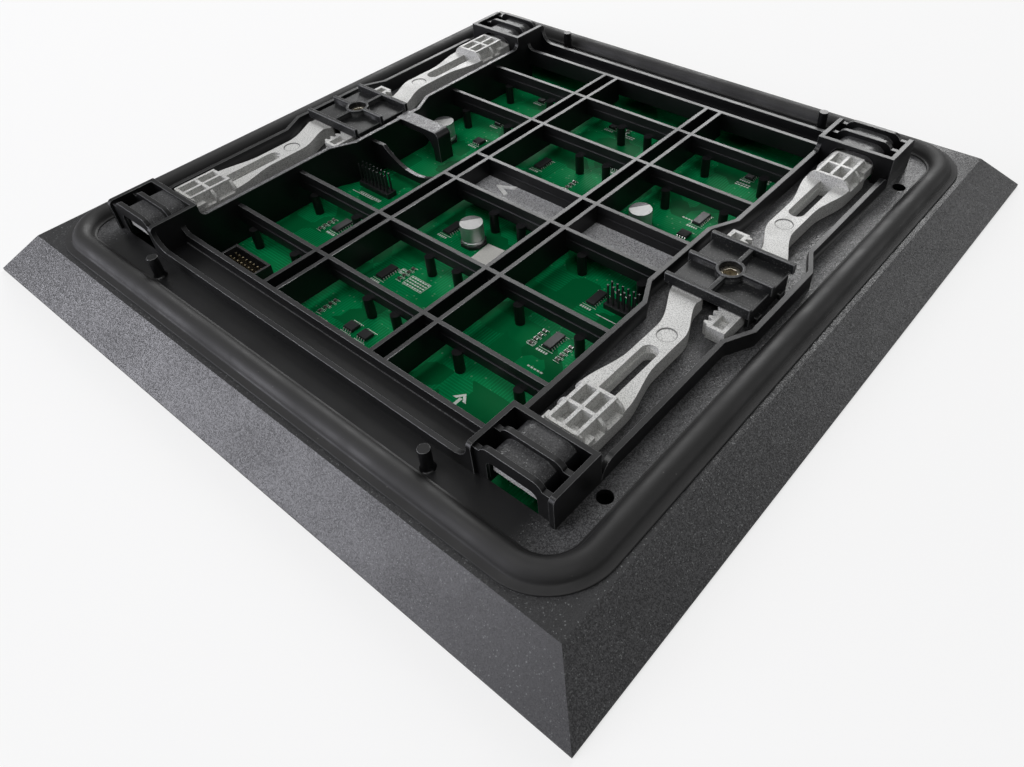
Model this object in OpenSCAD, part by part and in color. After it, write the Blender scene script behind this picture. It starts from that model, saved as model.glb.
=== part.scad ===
// Square display module seen from behind: a bevelled back case with a rib lattice open to the
// circuit board, a sealing gasket round it, and two quarter-turn rack latches along the sides.
// The lamp face lies down on z = 0, +Z points to the back, and the latches run along Y.

/* [Case] */
// Side of the square lamp face
case_w = 320; // [314:1:330]
// Height of the plain edge beside the lamp face
lip_h = 1; // [0.6:0.1:1.6]
// Height of the rear flange over the lamp face
flange_z = 16; // [15.5:0.1:16.5]
// How far the bevel draws in on each side
bevel_inset = 15.8; // [14:0.2:16.6]
// General wall of the moulding
wall = 2; // [1.6:0.1:2.2]

/* [Lamp side] */
// Lamps along each side of the face
lamps_per_side = 24; // [16:1:24]
// Side of one square lamp
lamp_w = 3.6; // [2.8:0.1:4]
// Height of one lamp
lamp_h = 1.5; // [1.2:0.1:1.8]
// Thickness of the front mask
mask_t = 2; // [1.9:0.1:2.2]
// Thickness of the circuit board
board_t = 1.6; // [1.2:0.1:1.8]
// Width of the case rim left around the mask
rim_w = 4; // [3.8:0.1:4.6]
// Diameter of the key hole in mask and board
key_hole_d = 6; // [5:0.2:7]
// Diameter of a mask screw
screw_d = 2.6; // [2:0.1:3]

/* [Gasket] */
// Gap between the flange edge and the gasket lip
gasket_edge = 2.2; // [1.2:0.1:3]
// Width of the raised bead
bead_w = 8.6; // [7:0.2:9]
// Height of the bead over the flange
bead_h = 4.6; // [3:0.2:6]
// Width of the flat lip outside the bead
gasket_lip_w = 3; // [2:0.2:3.4]
// Width of the flat lip inside the bead
gasket_in_w = 1; // [0.6:0.1:1]
// Thickness of the flat lips
gasket_lip_t = 0.7; // [0.5:0.1:1]
// Depth of the groove that holds the bead
groove_d = 0.8; // [0.5:0.1:1]
// Radius of the lip at the corners
gasket_corner_r = 24; // [20:1:26]

/* [Lattice] */
// Height of the rib tops
rib_z = 20.5; // [19:0.1:22]
// Depth of the cross ribs
rib_depth = 8.2; // [7:0.2:9]
// Depth of the paired long ribs
pair_depth = 12; // [9:0.5:14]
// Rows of cross ribs, as shares of the lattice's half length
rib_share = [0.0977, 0.4535, 0.7587];
// Paired long ribs, as shares of the lattice's half width
pair_share = [0.3054, 0.3903];
// Thickness of a rib at its top
rib_t = 1.8; // [1.4:0.1:2.2]
// Ledge on each side of a cross rib's lower half
rib_ledge = 0.5; // [0.2:0.1:0.8]
// Diameter of the posts that bear on the board
post_d = 4; // [3:0.2:5]
// Width of the trough between the two end walls
trough_w = 12; // [10:0.5:14]
// Distance from the case side to the outer end wall
end_inset = 41.5; // [40.5:0.5:42.5]
// Diameter of the locating pegs
peg_d = 4.2; // [3:0.1:5]
// Height of the locating pegs over the flange
peg_h = 9; // [5:0.5:12]
// Distance of the locating pegs from the middle
peg_x = 76.5; // [60:0.5:80]
// Diameter of the fixing holes in the flange
hole_d = 5.5; // [4:0.1:6]
// Distance of the fixing holes from the middle
hole_y = 101.7; // [80:0.5:105]

/* [Latch channels] */
// Distance from the case side to the latch line
latch_inset = 56; // [55:0.5:58]
// Clear width of the latch channel on the lattice side of the latch line
channel_in = 14.6; // [14:0.1:15]
// Clear width of the latch channel on the outer side of the latch line
channel_out = 15.2; // [14.6:0.1:15.8]
// Extra half width beside the lock
lock_bulge = 5.6; // [4.4:0.2:6.4]
// Top of the inner channel wall
inner_wall_z = 23.4; // [22:0.2:25]
// Top of the outer channel wall
outer_wall_z = 22.6; // [21:0.2:24]

/* [Corner guides] */
// Length of a guide along the latch
guide_len = 21.6; // [20:0.1:23]
// Top of the guide's side walls
guide_z = 29.2; // [28.8:0.1:30]
// Rise of the humped cross walls over the side walls
hump_h = 1.1; // [0.5:0.1:1.6]
// Top of the tunnel inside the guide
tunnel_z = 27.1; // [26.4:0.1:27.4]
// Half width of the tunnel inside the guide
tunnel_half = 9.85; // [9.4:0.05:10.2]
// Radius of the tunnel's upper corners
tunnel_r = 5; // [3:0.1:5.4]
// Top of the mouth in the guide's outer wall
mouth_z = 25; // [24.4:0.1:25.6]
// Half width of the mouth
mouth_half = 10; // [9.6:0.05:10.2]
// Radius of the mouth's upper corners
mouth_r = 2.8; // [1:0.1:3.6]

/* [Latch] */
// Module of the rack and pinion teeth
tooth_m = 1; // [0.9:0.05:1.05]
// Teeth on the pinion
pinion_teeth = 12; // [11:1:13]
// Turn of the key between open and locked, in degrees
key_turn = 90; // [60:5:90]
// Top of the flat arm
arm_z = 23; // [22.4:0.1:23.4]
// Top of the rack under the lock cover
rack_z = 21.9; // [21:0.1:22.2]
// Width of the arm
arm_w = 10.8; // [10:0.1:12]
// Length of the ribbed head
head_len = 19.8; // [17:0.1:21]
// Floor of the pockets between the head's ribs
head_floor = 21.6; // [20:0.1:22.4]
// Thickness of the ribs on the head
head_rib_t = 1.3; // [1:0.1:1.6]
// Underside of the tongue ahead of the head
tongue_low = 19; // [18:0.1:19.4]
// Thickness of the tongue
tongue_t = 4.6; // [3:0.1:4.8]

/* [Lock] */
// Half side of the square lock cover
cover_half = 16.5; // [16.2:0.1:17]
// Thickness of the lock cover's legs
cover_leg_t = 1.6; // [1.2:0.1:2]
// Top of the lock cover
cover_z = 26.5; // [26:0.1:28]
// Diameter of the spindle in the case
spindle_d = 10; // [9:0.1:10.2]
// Diameter of the spindle in the lock cover
journal_d = 8.4; // [8:0.1:8.8]
// Across flats of the key socket
socket_w = 5; // [4:0.1:5.5]

/* [Fits] */
// Gap between sliding parts
slide_gap = 0.35; // [0.3:0.05:0.45]
// Radial gap of turning parts
turn_gap = 0.05; // [0.02:0.01:0.1]
// Gap round mask and board in the case
seat_gap = 0.2; // [0.1:0.05:0.4]

/* [Hidden] */
$fn = 64;
// How far a cut runs past the face it opens
past = 1;

// Case section
half = case_w / 2;
bevel_rise = flange_z - lip_h;
flange_half = half - bevel_inset;
bevel_shift = wall * norm([bevel_inset, bevel_rise]) / bevel_rise;
pocket_half = half - rim_w;
panel_half = pocket_half - seat_gap;
board_z = mask_t + board_t;
ceiling_z = flange_z - wall;
function bevel_x(z) = half - max(0, z - lip_h) * bevel_inset / bevel_rise;

// Lamp grid: lamps sit at odd half pitches, so whole pitches are free for screws
lamp_pitch = case_w / lamps_per_side;
lamp_gap = 0.3;
slots_per_row = 4;
function on_grid(v) = round(v / lamp_pitch) * lamp_pitch;
screw_reach = on_grid(flange_half - 12);
screw_spots = [for (x = [-1, 0, 1], y = [-1, 0, 1]) if (x != 0 || y != 0) [x, y] * screw_reach];
screw_head_d = 2 * screw_d;
screw_head_h = 0.6 * mask_t;
screw_top = ceiling_z - 2 * wall;

// Gasket
lip_out = flange_half - gasket_edge;
bead_out = lip_out - gasket_lip_w;
bead_in = bead_out - bead_w;
gasket_corner = lip_out - gasket_corner_r;
bead_r = bead_w / 2;

// Lattice and channels
latch_x = half - latch_inset;
wall_in_x = latch_x - channel_in - wall / 2;
wall_out_x = latch_x + channel_out + wall / 2;
end_y = half - end_inset;
inner_y = end_y - trough_w;
rib_rows = rib_share * inner_y;
pair_x = pair_share * wall_in_x;
rib_low_z = rib_z - rib_depth;
column_edge = wall_in_x - lock_bulge;
jog_in = cover_half + 3.5;
jog_out = jog_in + 11;
lip_in = bead_in - gasket_in_w;
peg_y = lip_in - 3;
hole_x = (wall_out_x + wall / 2 + lip_in) / 2;
column_x = (pair_x[1] + wall_in_x) / 2;
column_half = [wall_in_x - column_x, pair_x[0], wall_in_x - column_x];
post_share = [[-0.6, 0.45], [-0.13, 0.45], [-0.61, 0.48]];

// Guides and latch
guide_out = end_y + wall / 2;
guide_in = guide_out - guide_len;
arm_low = flange_z + slide_gap;
pitch_r = tooth_m * pinion_teeth / 2;
travel = pitch_r * key_turn * PI / 180;
rack_back = cover_half - cover_leg_t - slide_gap;
rack_root = pitch_r + 1.25 * tooth_m;
rack_tip = pitch_r - 0.65 * tooth_m;
rack_tail = cover_half + 10.5;
bend_start = cover_half - 4.5;
bend_end = bend_start + 26;
rack_front = 9;
ramp_start = cover_half + 0.5;
ramp_end = ramp_start + 3.5;
head_half = tunnel_half - slide_gap;
head_top = tunnel_z - slide_gap;
head_end = guide_in - 2.1;
head_start = head_end - head_len;
head_corner_r = 5;
flare_start = max(bend_end, head_start - 22);
tongue_half = min(mouth_half, tunnel_half) - slide_gap - 0.4;
mouth_y = guide_out - 1.2 - wall;
tongue_end = mouth_y;
cover_low = rack_z + slide_gap;
boss_low = board_z + 1.4;
pinion_top = rack_z - slide_gap;
spindle_top = cover_z - 2.4;
seal_z = (boss_low + flange_z) / 2 + 1.5;
seal_r = 0.7;

// Shared shapes

// A square block with a plain edge at its foot and four bevelled sides
module bevelled_block(outline) {
    reach = 2 * half + 2 * past;
    intersection() {
        rotate([90, 0, 0]) linear_extrude(reach, center = true) polygon(outline);
        rotate([90, 0, 90]) linear_extrude(reach, center = true) polygon(outline);
    }
}

// A section with straight sides and a round-shouldered top, from z0 up to z1
module loaf(w, z0, z1, r) {
    translate([-w, z0]) square([2 * w, z1 - r - z0]);
    translate([r - w, z0]) square([2 * (w - r), z1 - z0]);
    for (side = [-1, 1]) translate([side * (w - r), z1 - r]) circle(r);
}

// A section drawn in X and Z, carried along Y from y0 to y1
module along_y(y0, y1) {
    translate([0, y1, 0]) rotate([90, 0, 0]) linear_extrude(y1 - y0) children();
}

// A section drawn outside the corner radius, carried round a square ring
module ring_sweep(corner) {
    for (turn = [0:90:270]) rotate([0, 0, turn]) {
        translate([corner, corner, 0]) rotate_extrude(angle = 90) children();
        translate([corner, corner, 0]) rotate([90, 0, 0]) linear_extrude(2 * corner) children();
    }
}

// A wall in plan along a path, w wide across X, from z0 up to z1
module path_wall(path, w, z0, z1) {
    near = [for (p = path) p - [w / 2, 0]];
    far = [for (i = [len(path) - 1:-1:0]) path[i] + [w / 2, 0]];
    translate([0, 0, z0]) linear_extrude(z1 - z0) polygon(concat(near, far));
}

// A box given by its plan corners and its two heights
module slab(x0, x1, y0, y1, z0, z1) {
    translate([x0, y0, z0]) cube([x1 - x0, y1 - y0, z1 - z0]);
}

// A concave sweep in section, from a level top up to a wall on its right
module sweep_up(r) {
    difference() {
        translate([0, -past]) square([r + past, r + past]);
        translate([0, r]) circle(r);
    }
}

// A section drawn in Y and Z, carried along X from x0 to x1
module along_x(x0, x1) {
    translate([x0, 0, 0]) rotate([90, 0, 90]) linear_extrude(x1 - x0) children();
}

// A path along Y at x that steps by bulge beside the lock
function jog_path(x, bulge, y) = [
    [x, -y], [x, -jog_out], [x + bulge, -jog_in], [x + bulge, jog_in], [x, jog_out], [x, y]
];

function smooth(t) = t <= 0 ? 0 : t >= 1 ? 1 : t * t * (3 - 2 * t);

// Back case

case_outline = [
    [-half, 0], [half, 0], [half, lip_h], [flange_half, flange_z],
    [-flange_half, flange_z], [-half, lip_h]
];
cavity_low = bevel_x(board_z) - bevel_shift;
cavity_high = bevel_x(ceiling_z) - bevel_shift;
cavity_outline = [
    [-cavity_low, board_z - past], [cavity_low, board_z - past], [cavity_low, board_z],
    [cavity_high, ceiling_z], [-cavity_high, ceiling_z], [-cavity_low, board_z]
];

module lattice_window() {
    y = inner_y - wall / 2;
    right = jog_path(wall_in_x - wall / 2, -lock_bulge, y);
    left = [for (i = [len(right) - 1:-1:0]) [-right[i].x, right[i].y]];
    polygon(concat(right, left));
}

module gasket_groove() {
    translate([bead_in - gasket_corner, flange_z - groove_d]) square([bead_w, groove_d + past]);
}

module case_shell() {
    difference() {
        bevelled_block(case_outline);
        bevelled_block(cavity_outline);
        slab(-pocket_half, pocket_half, -pocket_half, pocket_half, -past, board_z);
        translate([0, 0, ceiling_z - past]) linear_extrude(wall + 2 * past) lattice_window();
        ring_sweep(gasket_corner) gasket_groove();
    }
}

// Cross ribs in plan, clear of the left middle cell
module cross_ribs(w) {
    for (y = rib_rows, side = [-1, 1]) {
        left = y == rib_rows[0] ? -pair_x[1] : -half;
        translate([left, side * y - w / 2]) square([half - left, w]);
    }
}

module lattice() {
    ledge_z = (rib_z + rib_low_z) / 2;
    post_grip = 0.6;
    translate([0, 0, ledge_z - past]) linear_extrude(rib_z - ledge_z + past)
        intersection() { lattice_window(); cross_ribs(rib_t); }
    translate([0, 0, rib_low_z]) linear_extrude(ledge_z - rib_low_z)
        intersection() { lattice_window(); cross_ribs(rib_t + 2 * rib_ledge); }
    for (x = pair_x, side = [-1, 1])
        slab(side * x - rib_t / 2, side * x + rib_t / 2, -inner_y, inner_y,
             rib_z - pair_depth, rib_z);
    for (span = [[-pair_x[0], pair_x[0]], [pair_x[1], column_edge]])
        slab(span[0], span[1], -rib_rows[0], rib_rows[0], rib_low_z - wall, rib_low_z);
    for (i = [-1:1], y = rib_rows, side = [-1, 1], share = post_share[i + 1])
        if (y > rib_rows[0] || (i >= 0 && side < 0))
            translate([i * column_x + share * column_half[i + 1],
                       side * y - rib_t / 2 - post_d / 3, board_z])
                cylinder(d = post_d, h = rib_low_z + post_grip - board_z);
}

// The open left middle cell: a bridge with an arch under it, and a scooped rib
module left_cell() {
    y = rib_rows[0];
    wall_x = -column_edge - wall;
    foot_z = rib_z - pair_depth;
    bridge_end = 26 - column_edge;
    leg = 4;
    top_t = 3;
    top_z = inner_wall_z - top_t;
    arch_r = top_z - rib_low_z;
    along_y(y - 3, y + 5) difference() {
        union() {
            translate([wall_x, foot_z]) square([bridge_end - top_t - wall_x, inner_wall_z - foot_z]);
            translate([wall_x, foot_z]) square([bridge_end - wall_x, top_z - foot_z]);
            translate([bridge_end - top_t, top_z]) circle(top_t);
        }
        translate([wall_x - past, foot_z - past])
            square([bridge_end - leg - arch_r - wall_x + past, top_z - foot_z + past]);
        translate([wall_x, foot_z - past])
            square([bridge_end - leg - wall_x, rib_low_z - foot_z + past]);
        translate([bridge_end - leg - arch_r, rib_low_z]) circle(arch_r);
    }
    along_y(-y - rib_t / 2, -y + rib_t / 2) difference() {
        translate([wall_x, foot_z]) square([-pair_x[1] - wall_x, pair_depth]);
        translate([-pair_x[1] - 20, rib_z + 18]) circle(26.5);
    }
}

module channel_walls() {
    end_r = outer_wall_z - flange_z;
    inner = jog_path(wall_in_x, -lock_bulge, inner_y + wall / 2);
    outer = jog_path(wall_out_x, lock_bulge, guide_in - end_r);
    for (side = [0, 1]) mirror([side, 0, 0]) {
        path_wall(inner, wall, board_z, inner_wall_z);
        path_wall(outer, wall, ceiling_z, outer_wall_z);
    }
    each_corner() along_x(wall_out_x - wall / 2, wall_out_x + wall / 2) intersection() {
        translate([guide_in - end_r, flange_z]) circle(end_r);
        translate([guide_in - end_r, flange_z - past]) square(end_r + past);
    }
}

// Double end wall; its outer wall sweeps up to the guides
module end_wall() {
    face = wall_in_x - wall / 2;
    outer_r = guide_z - rib_z - 2;
    inner_r = outer_r / 2;
    for (row = [[inner_y, rib_low_z, inner_r], [end_y, ceiling_z, outer_r]])
        along_y(row[0] - wall / 2, row[0] + wall / 2) {
            translate([-wall_in_x, row[1]]) square([2 * wall_in_x, rib_z - row[1]]);
            for (side = [0, 1]) mirror([side, 0]) translate([face - row[2], rib_z]) sweep_up(row[2]);
        }
}

// Guide at the far right corner: side walls, a tunnel, a level cross wall and two humped ones
module corner_guide() {
    skin = 1.3;
    web_z = guide_z - 1.3;
    shoulder_r = 4;
    end_r = 2;
    foot_r = 3;
    for (x = [wall_in_x, wall_out_x]) along_x(x - wall / 2, x + wall / 2) {
        translate([guide_in, ceiling_z]) square([guide_len, guide_z - end_r - ceiling_z]);
        translate([guide_in, ceiling_z]) square([guide_len - end_r, guide_z - ceiling_z]);
        translate([guide_out - end_r, guide_z - end_r]) circle(end_r);
    }
    along_x(wall_in_x - wall / 2, wall_in_x + wall / 2)
        translate([guide_in - foot_r, inner_wall_z]) sweep_up(foot_r);
    for (y = [guide_in, (guide_in + mouth_y) / 2, mouth_y]) along_y(y, y + wall) difference() {
        union() {
            if (y > guide_in) translate([latch_x, 0])
                loaf(tunnel_half + 2 * skin, ceiling_z, guide_z + hump_h, shoulder_r);
            translate([wall_in_x, ceiling_z])
                square([wall_out_x - wall_in_x, (y > guide_in ? web_z : guide_z) - ceiling_z]);
        }
        translate([latch_x, 0]) if (y == mouth_y) loaf(mouth_half, flange_z, mouth_z, mouth_r);
        else loaf(tunnel_half, flange_z, tunnel_z, tunnel_r);
    }
    translate([latch_x, 0, 0]) along_y(guide_in + wall / 2, mouth_y + wall / 2) difference() {
        loaf(tunnel_half + skin, ceiling_z, tunnel_z + skin, tunnel_r + skin);
        loaf(tunnel_half, ceiling_z - past, tunnel_z, tunnel_r);
    }
}

module each_corner() {
    for (x = [0, 1], y = [0, 1]) mirror([x, 0, 0]) mirror([0, y, 0]) children();
}

module back_case() {
    foot_h = 1.5;
    color("#1c1d20") difference() {
        union() {
            case_shell();
            lattice();
            left_cell();
            channel_walls();
            for (side = [0, 1]) mirror([0, side, 0]) end_wall();
            each_corner() {
                corner_guide();
                translate([peg_x, peg_y, ceiling_z]) cylinder(d = peg_d, h = wall + peg_h);
                translate([peg_x, peg_y, flange_z]) cylinder(d1 = 1.3 * peg_d, d2 = peg_d, h = foot_h);
            }
            for (side = [-1, 1]) translate([side * latch_x, 0, boss_low])
                cylinder(d = spindle_d + 4 * wall, h = flange_z - boss_low);
            for (spot = screw_spots) translate([spot.x, spot.y, board_z])
                cylinder(d = screw_d + 2 * wall, h = ceiling_z - board_z + wall / 2);
        }
        for (side = [-1, 1]) translate([side * latch_x, 0, boss_low - past])
            cylinder(d = spindle_d + 2 * turn_gap, h = flange_z - boss_low + 2 * past);
        for (spot = screw_spots) translate([spot.x, spot.y, board_z - past])
            cylinder(d = screw_d + 2 * turn_gap, h = screw_top - board_z + past);
        each_corner() {
            translate([hole_x, hole_y, ceiling_z - past]) cylinder(d = hole_d, h = wall + 2 * past);
            translate([latch_x, 0, 0]) slab(-tunnel_half, tunnel_half, guide_in + wall,
                mouth_y + wall, ceiling_z - past, flange_z + past);
        }
    }
}

// Gasket: a round-topped bead in its groove and a flat lip on each side
module sealing_gasket() {
    seat = flange_z - groove_d;
    color("#151517") ring_sweep(gasket_corner) translate([bead_in - gasket_corner, 0]) {
        translate([0, seat]) square([bead_w, groove_d + bead_h - bead_r]);
        translate([bead_r, flange_z + bead_h - bead_r]) intersection() {
            circle(bead_r);
            translate([-bead_r, -0.01]) square([bead_w, bead_w]);
        }
        translate([-gasket_in_w, flange_z])
            square([gasket_in_w + bead_w + gasket_lip_w, gasket_lip_t]);
    }
}

// Lamp side

module panel_outline() {
    difference() {
        square(2 * panel_half, center = true);
        for (side = [-1, 1]) translate([side * latch_x, 0]) circle(d = key_hole_d);
        for (spot = screw_spots) translate(spot) circle(d = screw_d + 2 * seat_gap);
    }
}

// Slots end between lamps, so each holds a whole number of them
module front_mask() {
    slot_w = lamp_w + 2 * lamp_gap;
    ends = [for (i = [0:slots_per_row]) round(i * lamps_per_side / slots_per_row)];
    color("#101012") difference() {
        linear_extrude(mask_t) difference() {
            panel_outline();
            for (row = [0:lamps_per_side - 1], i = [0:slots_per_row - 1])
                translate([lamp_pitch * (ends[i] + 0.5 - lamps_per_side / 2) - slot_w / 2,
                           lamp_pitch * (row + 0.5 - lamps_per_side / 2) - slot_w / 2])
                    square([lamp_pitch * (ends[i + 1] - ends[i] - 1) + slot_w, slot_w]);
        }
        for (spot = screw_spots) translate([spot.x, spot.y, -past])
            cylinder(d = screw_head_d + 2 * seat_gap, h = screw_head_h + past);
    }
}

module circuit_board() {
    color("#0c6b3c") translate([0, 0, mask_t]) linear_extrude(board_t) panel_outline();
}

module led_lamps() {
    color("#e8e6dc")
        for (column = [0:lamps_per_side - 1], row = [0:lamps_per_side - 1])
            translate([lamp_pitch * (column + 0.5 - lamps_per_side / 2) - lamp_w / 2,
                       lamp_pitch * (row + 0.5 - lamps_per_side / 2) - lamp_w / 2,
                       mask_t - lamp_h]) cube([lamp_w, lamp_w, lamp_h]);
}

module mask_screws() {
    sunk = 0.2;
    color("#3a3a3c") for (spot = screw_spots) translate([spot.x, spot.y, sunk]) {
        cylinder(d = screw_head_d, h = screw_head_h - sunk);
        cylinder(d = screw_d, h = screw_top - 2 * sunk);
    }
}

// Board parts, each placed by the middle of its foot on the board. Layouts are in hundredths of
// the lattice's half width and half length.
function laid_out(spots) = [for (p = spots) [p.x * wall_in_x, p.y * inner_y] / 100];

// A moulded chip with a row of gull-wing leads along each long side
module chip(body, height, leads) {
    lead_pitch = 1.27;
    lead_w = 0.5;
    lead_out = 0.8;
    lead_t = 0.3;
    linear_extrude(height) square(body, center = true);
    for (side = [-1, 1], i = [0:leads - 1])
        translate([side * (body.x + lead_out) / 2, (i - (leads - 1) / 2) * lead_pitch, 0])
            linear_extrude(lead_t) square([lead_out, lead_w], center = true);
}

module on_board(spot, turn = 0) {
    translate([spot.x, spot.y, board_z]) rotate([0, 0, turn]) children();
}

header_pitch = 2.54;
// The two pin strips end beside the inner channel walls
strip_cols = [8, 6];
strip_y = -22;
strip_gap = 1.5;
function strip_x(i) = (2 * i - 1)
    * (column_edge - wall / 2 - strip_gap - strip_cols[i] * header_pitch / 2);

driver_layout = [
    [70.7, -47.9], [71.6, 44.6], [71.3, 86.4], [-67.9, -48.4], [-74.7, 56.3], [-72.4, 86.4],
    [-21.5, -57.7], [-21.5, -21.6], [-24.9, 38.5], [-18.1, 86.4]
];
driver_spots = concat([[strip_x(1) - strip_cols[1] * header_pitch / 2 - 5.1, strip_y]],
    laid_out(driver_layout));
module driver_chips() {
    color("#202124") for (spot = driver_spots) on_board(spot) chip([4, 9], 1.6, 7);
}

logic_turn = 90;
logic_spots = laid_out([[-5, -86.7], [4, -86.7], [71.7, 31.9], [9, 56.3], [-70.1, 35.7]]);
module logic_chips() {
    color("#26272a") for (spot = logic_spots) on_board(spot, logic_turn) chip([4.4, 5], 1.5, 4);
}

passive_layout = [
    [78.6, -50.2], [63.3, -49.3], [-13.6, -53.5], [79.2, 37.6], [80.3, 86.4], [-75.8, -51.2],
    [0, 31.9], [-9, 86.4], [-24.9, -84.5], [-65.6, 60.1]
];
module chip_passives() {
    count = 4;
    step = 2.6;
    color("#8d7f6a") for (spot = laid_out(passive_layout), i = [0:count - 1])
        on_board(spot + [0, (i - (count - 1) / 2) * step])
            linear_extrude(0.8) square([2, 1.2], center = true);
}

can_d = 10;
can_h = 10.5;
can_base_h = 1.5;
wall_can_x = column_edge - wall / 2 - 4.8;
can_spots = concat(laid_out([[-5.7, -23], [52, 24.4]]), [[-wall_can_x, jog_out - 1.5]]);
module capacitor_cans() {
    groove_r = 0.5;
    color("#c9cbd0") for (spot = can_spots) on_board(spot) rotate_extrude() difference() {
        translate([0, can_base_h]) square([can_d / 2, can_h - can_base_h]);
        translate([can_d / 2 + groove_r / 3, can_base_h + 1.6]) circle(groove_r);
    }
}

module capacitor_bases() {
    base_w = can_d + 0.6;
    chamfer = 2;
    color("#19191b") for (spot = can_spots) on_board(spot) linear_extrude(can_base_h) intersection() {
        square(base_w, center = true);
        rotate(45) square(base_w * sqrt(2) - chamfer * 2, center = true);
    }
}

header_cols = 8;
header_spot = laid_out([[-71.3, -91.8]])[0];
header_h = 9;
header_floor = 2.5;
pin_w = 0.64;
pin_gap = 0.02;
module header_pins(w, cols = header_cols) {
    for (i = [0:cols - 1], row = [-0.5, 0.5])
        translate([(i - (cols - 1) / 2) * header_pitch, row * header_pitch])
            square(w, center = true);
}

// Shrouded data socket with a key slot in one long wall
module data_header() {
    size = [header_cols * header_pitch + 3.4, 8.9];
    shell = 1.2;
    key = 4.5;
    color("#17181a") on_board(header_spot) difference() {
        linear_extrude(header_h) square(size, center = true);
        translate([0, 0, header_floor]) linear_extrude(header_h)
            square(size - 2 * [shell, shell], center = true);
        slab(-key / 2, key / 2, -size.y, 0, header_floor, header_h + past);
        translate([0, 0, -past]) linear_extrude(header_h) header_pins(pin_w + 2 * pin_gap);
    }
}

module data_header_pins() {
    color("#d0c9a8") on_board(header_spot) linear_extrude(header_h - 1.5) header_pins(pin_w);
}

strip_h = 2.5;
strip_pin_h = 11.5;
module pin_headers() {
    color("#18181a") for (i = [0, 1]) on_board([strip_x(i), strip_y]) difference() {
        linear_extrude(strip_h) square([strip_cols[i], 2] * header_pitch, center = true);
        translate([0, 0, -past]) linear_extrude(header_h)
            header_pins(pin_w + 2 * pin_gap, strip_cols[i]);
    }
}

module pin_header_pins() {
    color("#cfd1d3") for (i = [0, 1]) on_board([strip_x(i), strip_y])
        linear_extrude(strip_pin_h) header_pins(pin_w, strip_cols[i]);
}

module board_sticker() {
    color("#eceae4") on_board(can_spots[0] + [10.5, -2.5], 4)
        linear_extrude(0.15) square([9, 12], center = true);
}

// Lock

// A square moulded cover on two legs, with recessed panels round a bored ring
module lock_cover() {
    ring_r = journal_d / 2 + turn_gap + 1.2;
    rim = 1.8;
    panel_z = cover_low + 1;
    stub = 1;
    clip = [1.4, 3.4, 2.4];
    leg_half = cover_half - rim - 1;
    rib_y = [-cover_half, -rim / 2, cover_half - rim];
    difference() {
        union() {
            slab(-cover_half, cover_half, -cover_half, cover_half, cover_low, panel_z);
            for (y = rib_y)
                slab(-cover_half - stub, cover_half + stub, y, y + rim, cover_low, cover_z);
            slab(-rim / 2, rim / 2, -cover_half, cover_half, cover_low, cover_z - 0.4);
            translate([0, 0, cover_low]) cylinder(r = ring_r, h = cover_z - cover_low);
            for (side = [0, 1]) mirror([side, 0, 0]) {
                slab(cover_half - cover_leg_t, cover_half, -leg_half, leg_half,
                     flange_z, cover_low + past / 2);
                for (y = [-1, 1] * leg_half * 0.6)
                    slab(cover_half - past, cover_half + clip.x, y - clip.y / 2, y + clip.y / 2,
                         flange_z, flange_z + clip.z);
            }
        }
        translate([0, 0, cover_low - past]) cylinder(d = journal_d + 2 * turn_gap, h = cover_z);
    }
}

// Involute tooth: half its angle at radius r, thinned by the play at each flank
pressure = 20;
play = 0.15;
base_r = pitch_r * cos(pressure);
function involute(a) = tan(a) * 180 / PI - a;
function tooth_half(r) = 90 / pinion_teeth - play / pitch_r * 180 / PI
    + involute(pressure) - involute(acos(min(1, base_r / r)));
function polar(r, a) = r * [cos(a), sin(a)];

module pinion_section() {
    root_r = pitch_r - 1.25 * tooth_m;
    tip_r = pitch_r + 0.9 * tooth_m;
    steps = 4;
    radii = concat([root_r], [for (i = [0:steps]) base_r + (tip_r - base_r) * i / steps]);
    polygon([for (tooth = [0:pinion_teeth - 1], side = [-1, 1], i = [0:steps + 1])
        let (r = radii[side < 0 ? i : steps + 1 - i])
        polar(r, (tooth + 0.5) * 360 / pinion_teeth + side * tooth_half(r))]);
}

// Turned spindle with its pinion, a key socket at each end and a seal groove
module lock_spindle() {
    groove_w = 2 * seal_r + 0.2;
    groove_deep = 1.5;
    socket_deep = 4;
    difference() {
        union() {
            translate([0, 0, boss_low]) cylinder(d = spindle_d, h = arm_low - boss_low);
            translate([0, 0, arm_low]) linear_extrude(pinion_top - arm_low) pinion_section();
            translate([0, 0, pinion_top]) cylinder(d = journal_d, h = spindle_top - pinion_top);
        }
        for (z = [boss_low - past, spindle_top - socket_deep]) translate([0, 0, z])
            cylinder(d = socket_w / cos(30), h = socket_deep + past, $fn = 6);
        translate([0, 0, seal_z - groove_w / 2]) rotate_extrude()
            translate([spindle_d / 2 - groove_deep, 0]) square([groove_deep + past, groove_w]);
    }
}

module spindle_seal() {
    inset = 0.05;
    translate([0, 0, seal_z]) rotate_extrude()
        translate([spindle_d / 2 - inset - seal_r, 0]) circle(seal_r);
}

// Latch arm, drawn to the far side of its pinion with the rack on the right

bar_middle = (rack_root + rack_back) / 2;
root_side = 1.2;
function blend(v, v0, v1) = smooth((v - v0) / (v1 - v0));
function flare(v) = (head_half - arm_w / 2) * blend(v, flare_start, head_start);
function outer_side(v) = rack_back + (arm_w / 2 - rack_back) * blend(v, bend_start, bend_end) + flare(v);
function inner_side(v) = rack_root + (root_side - rack_root) * blend(v, rack_front, bend_start + 4)
    - (root_side + arm_w / 2) * blend(v, ramp_start + 2, bend_end) - flare(v);

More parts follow.
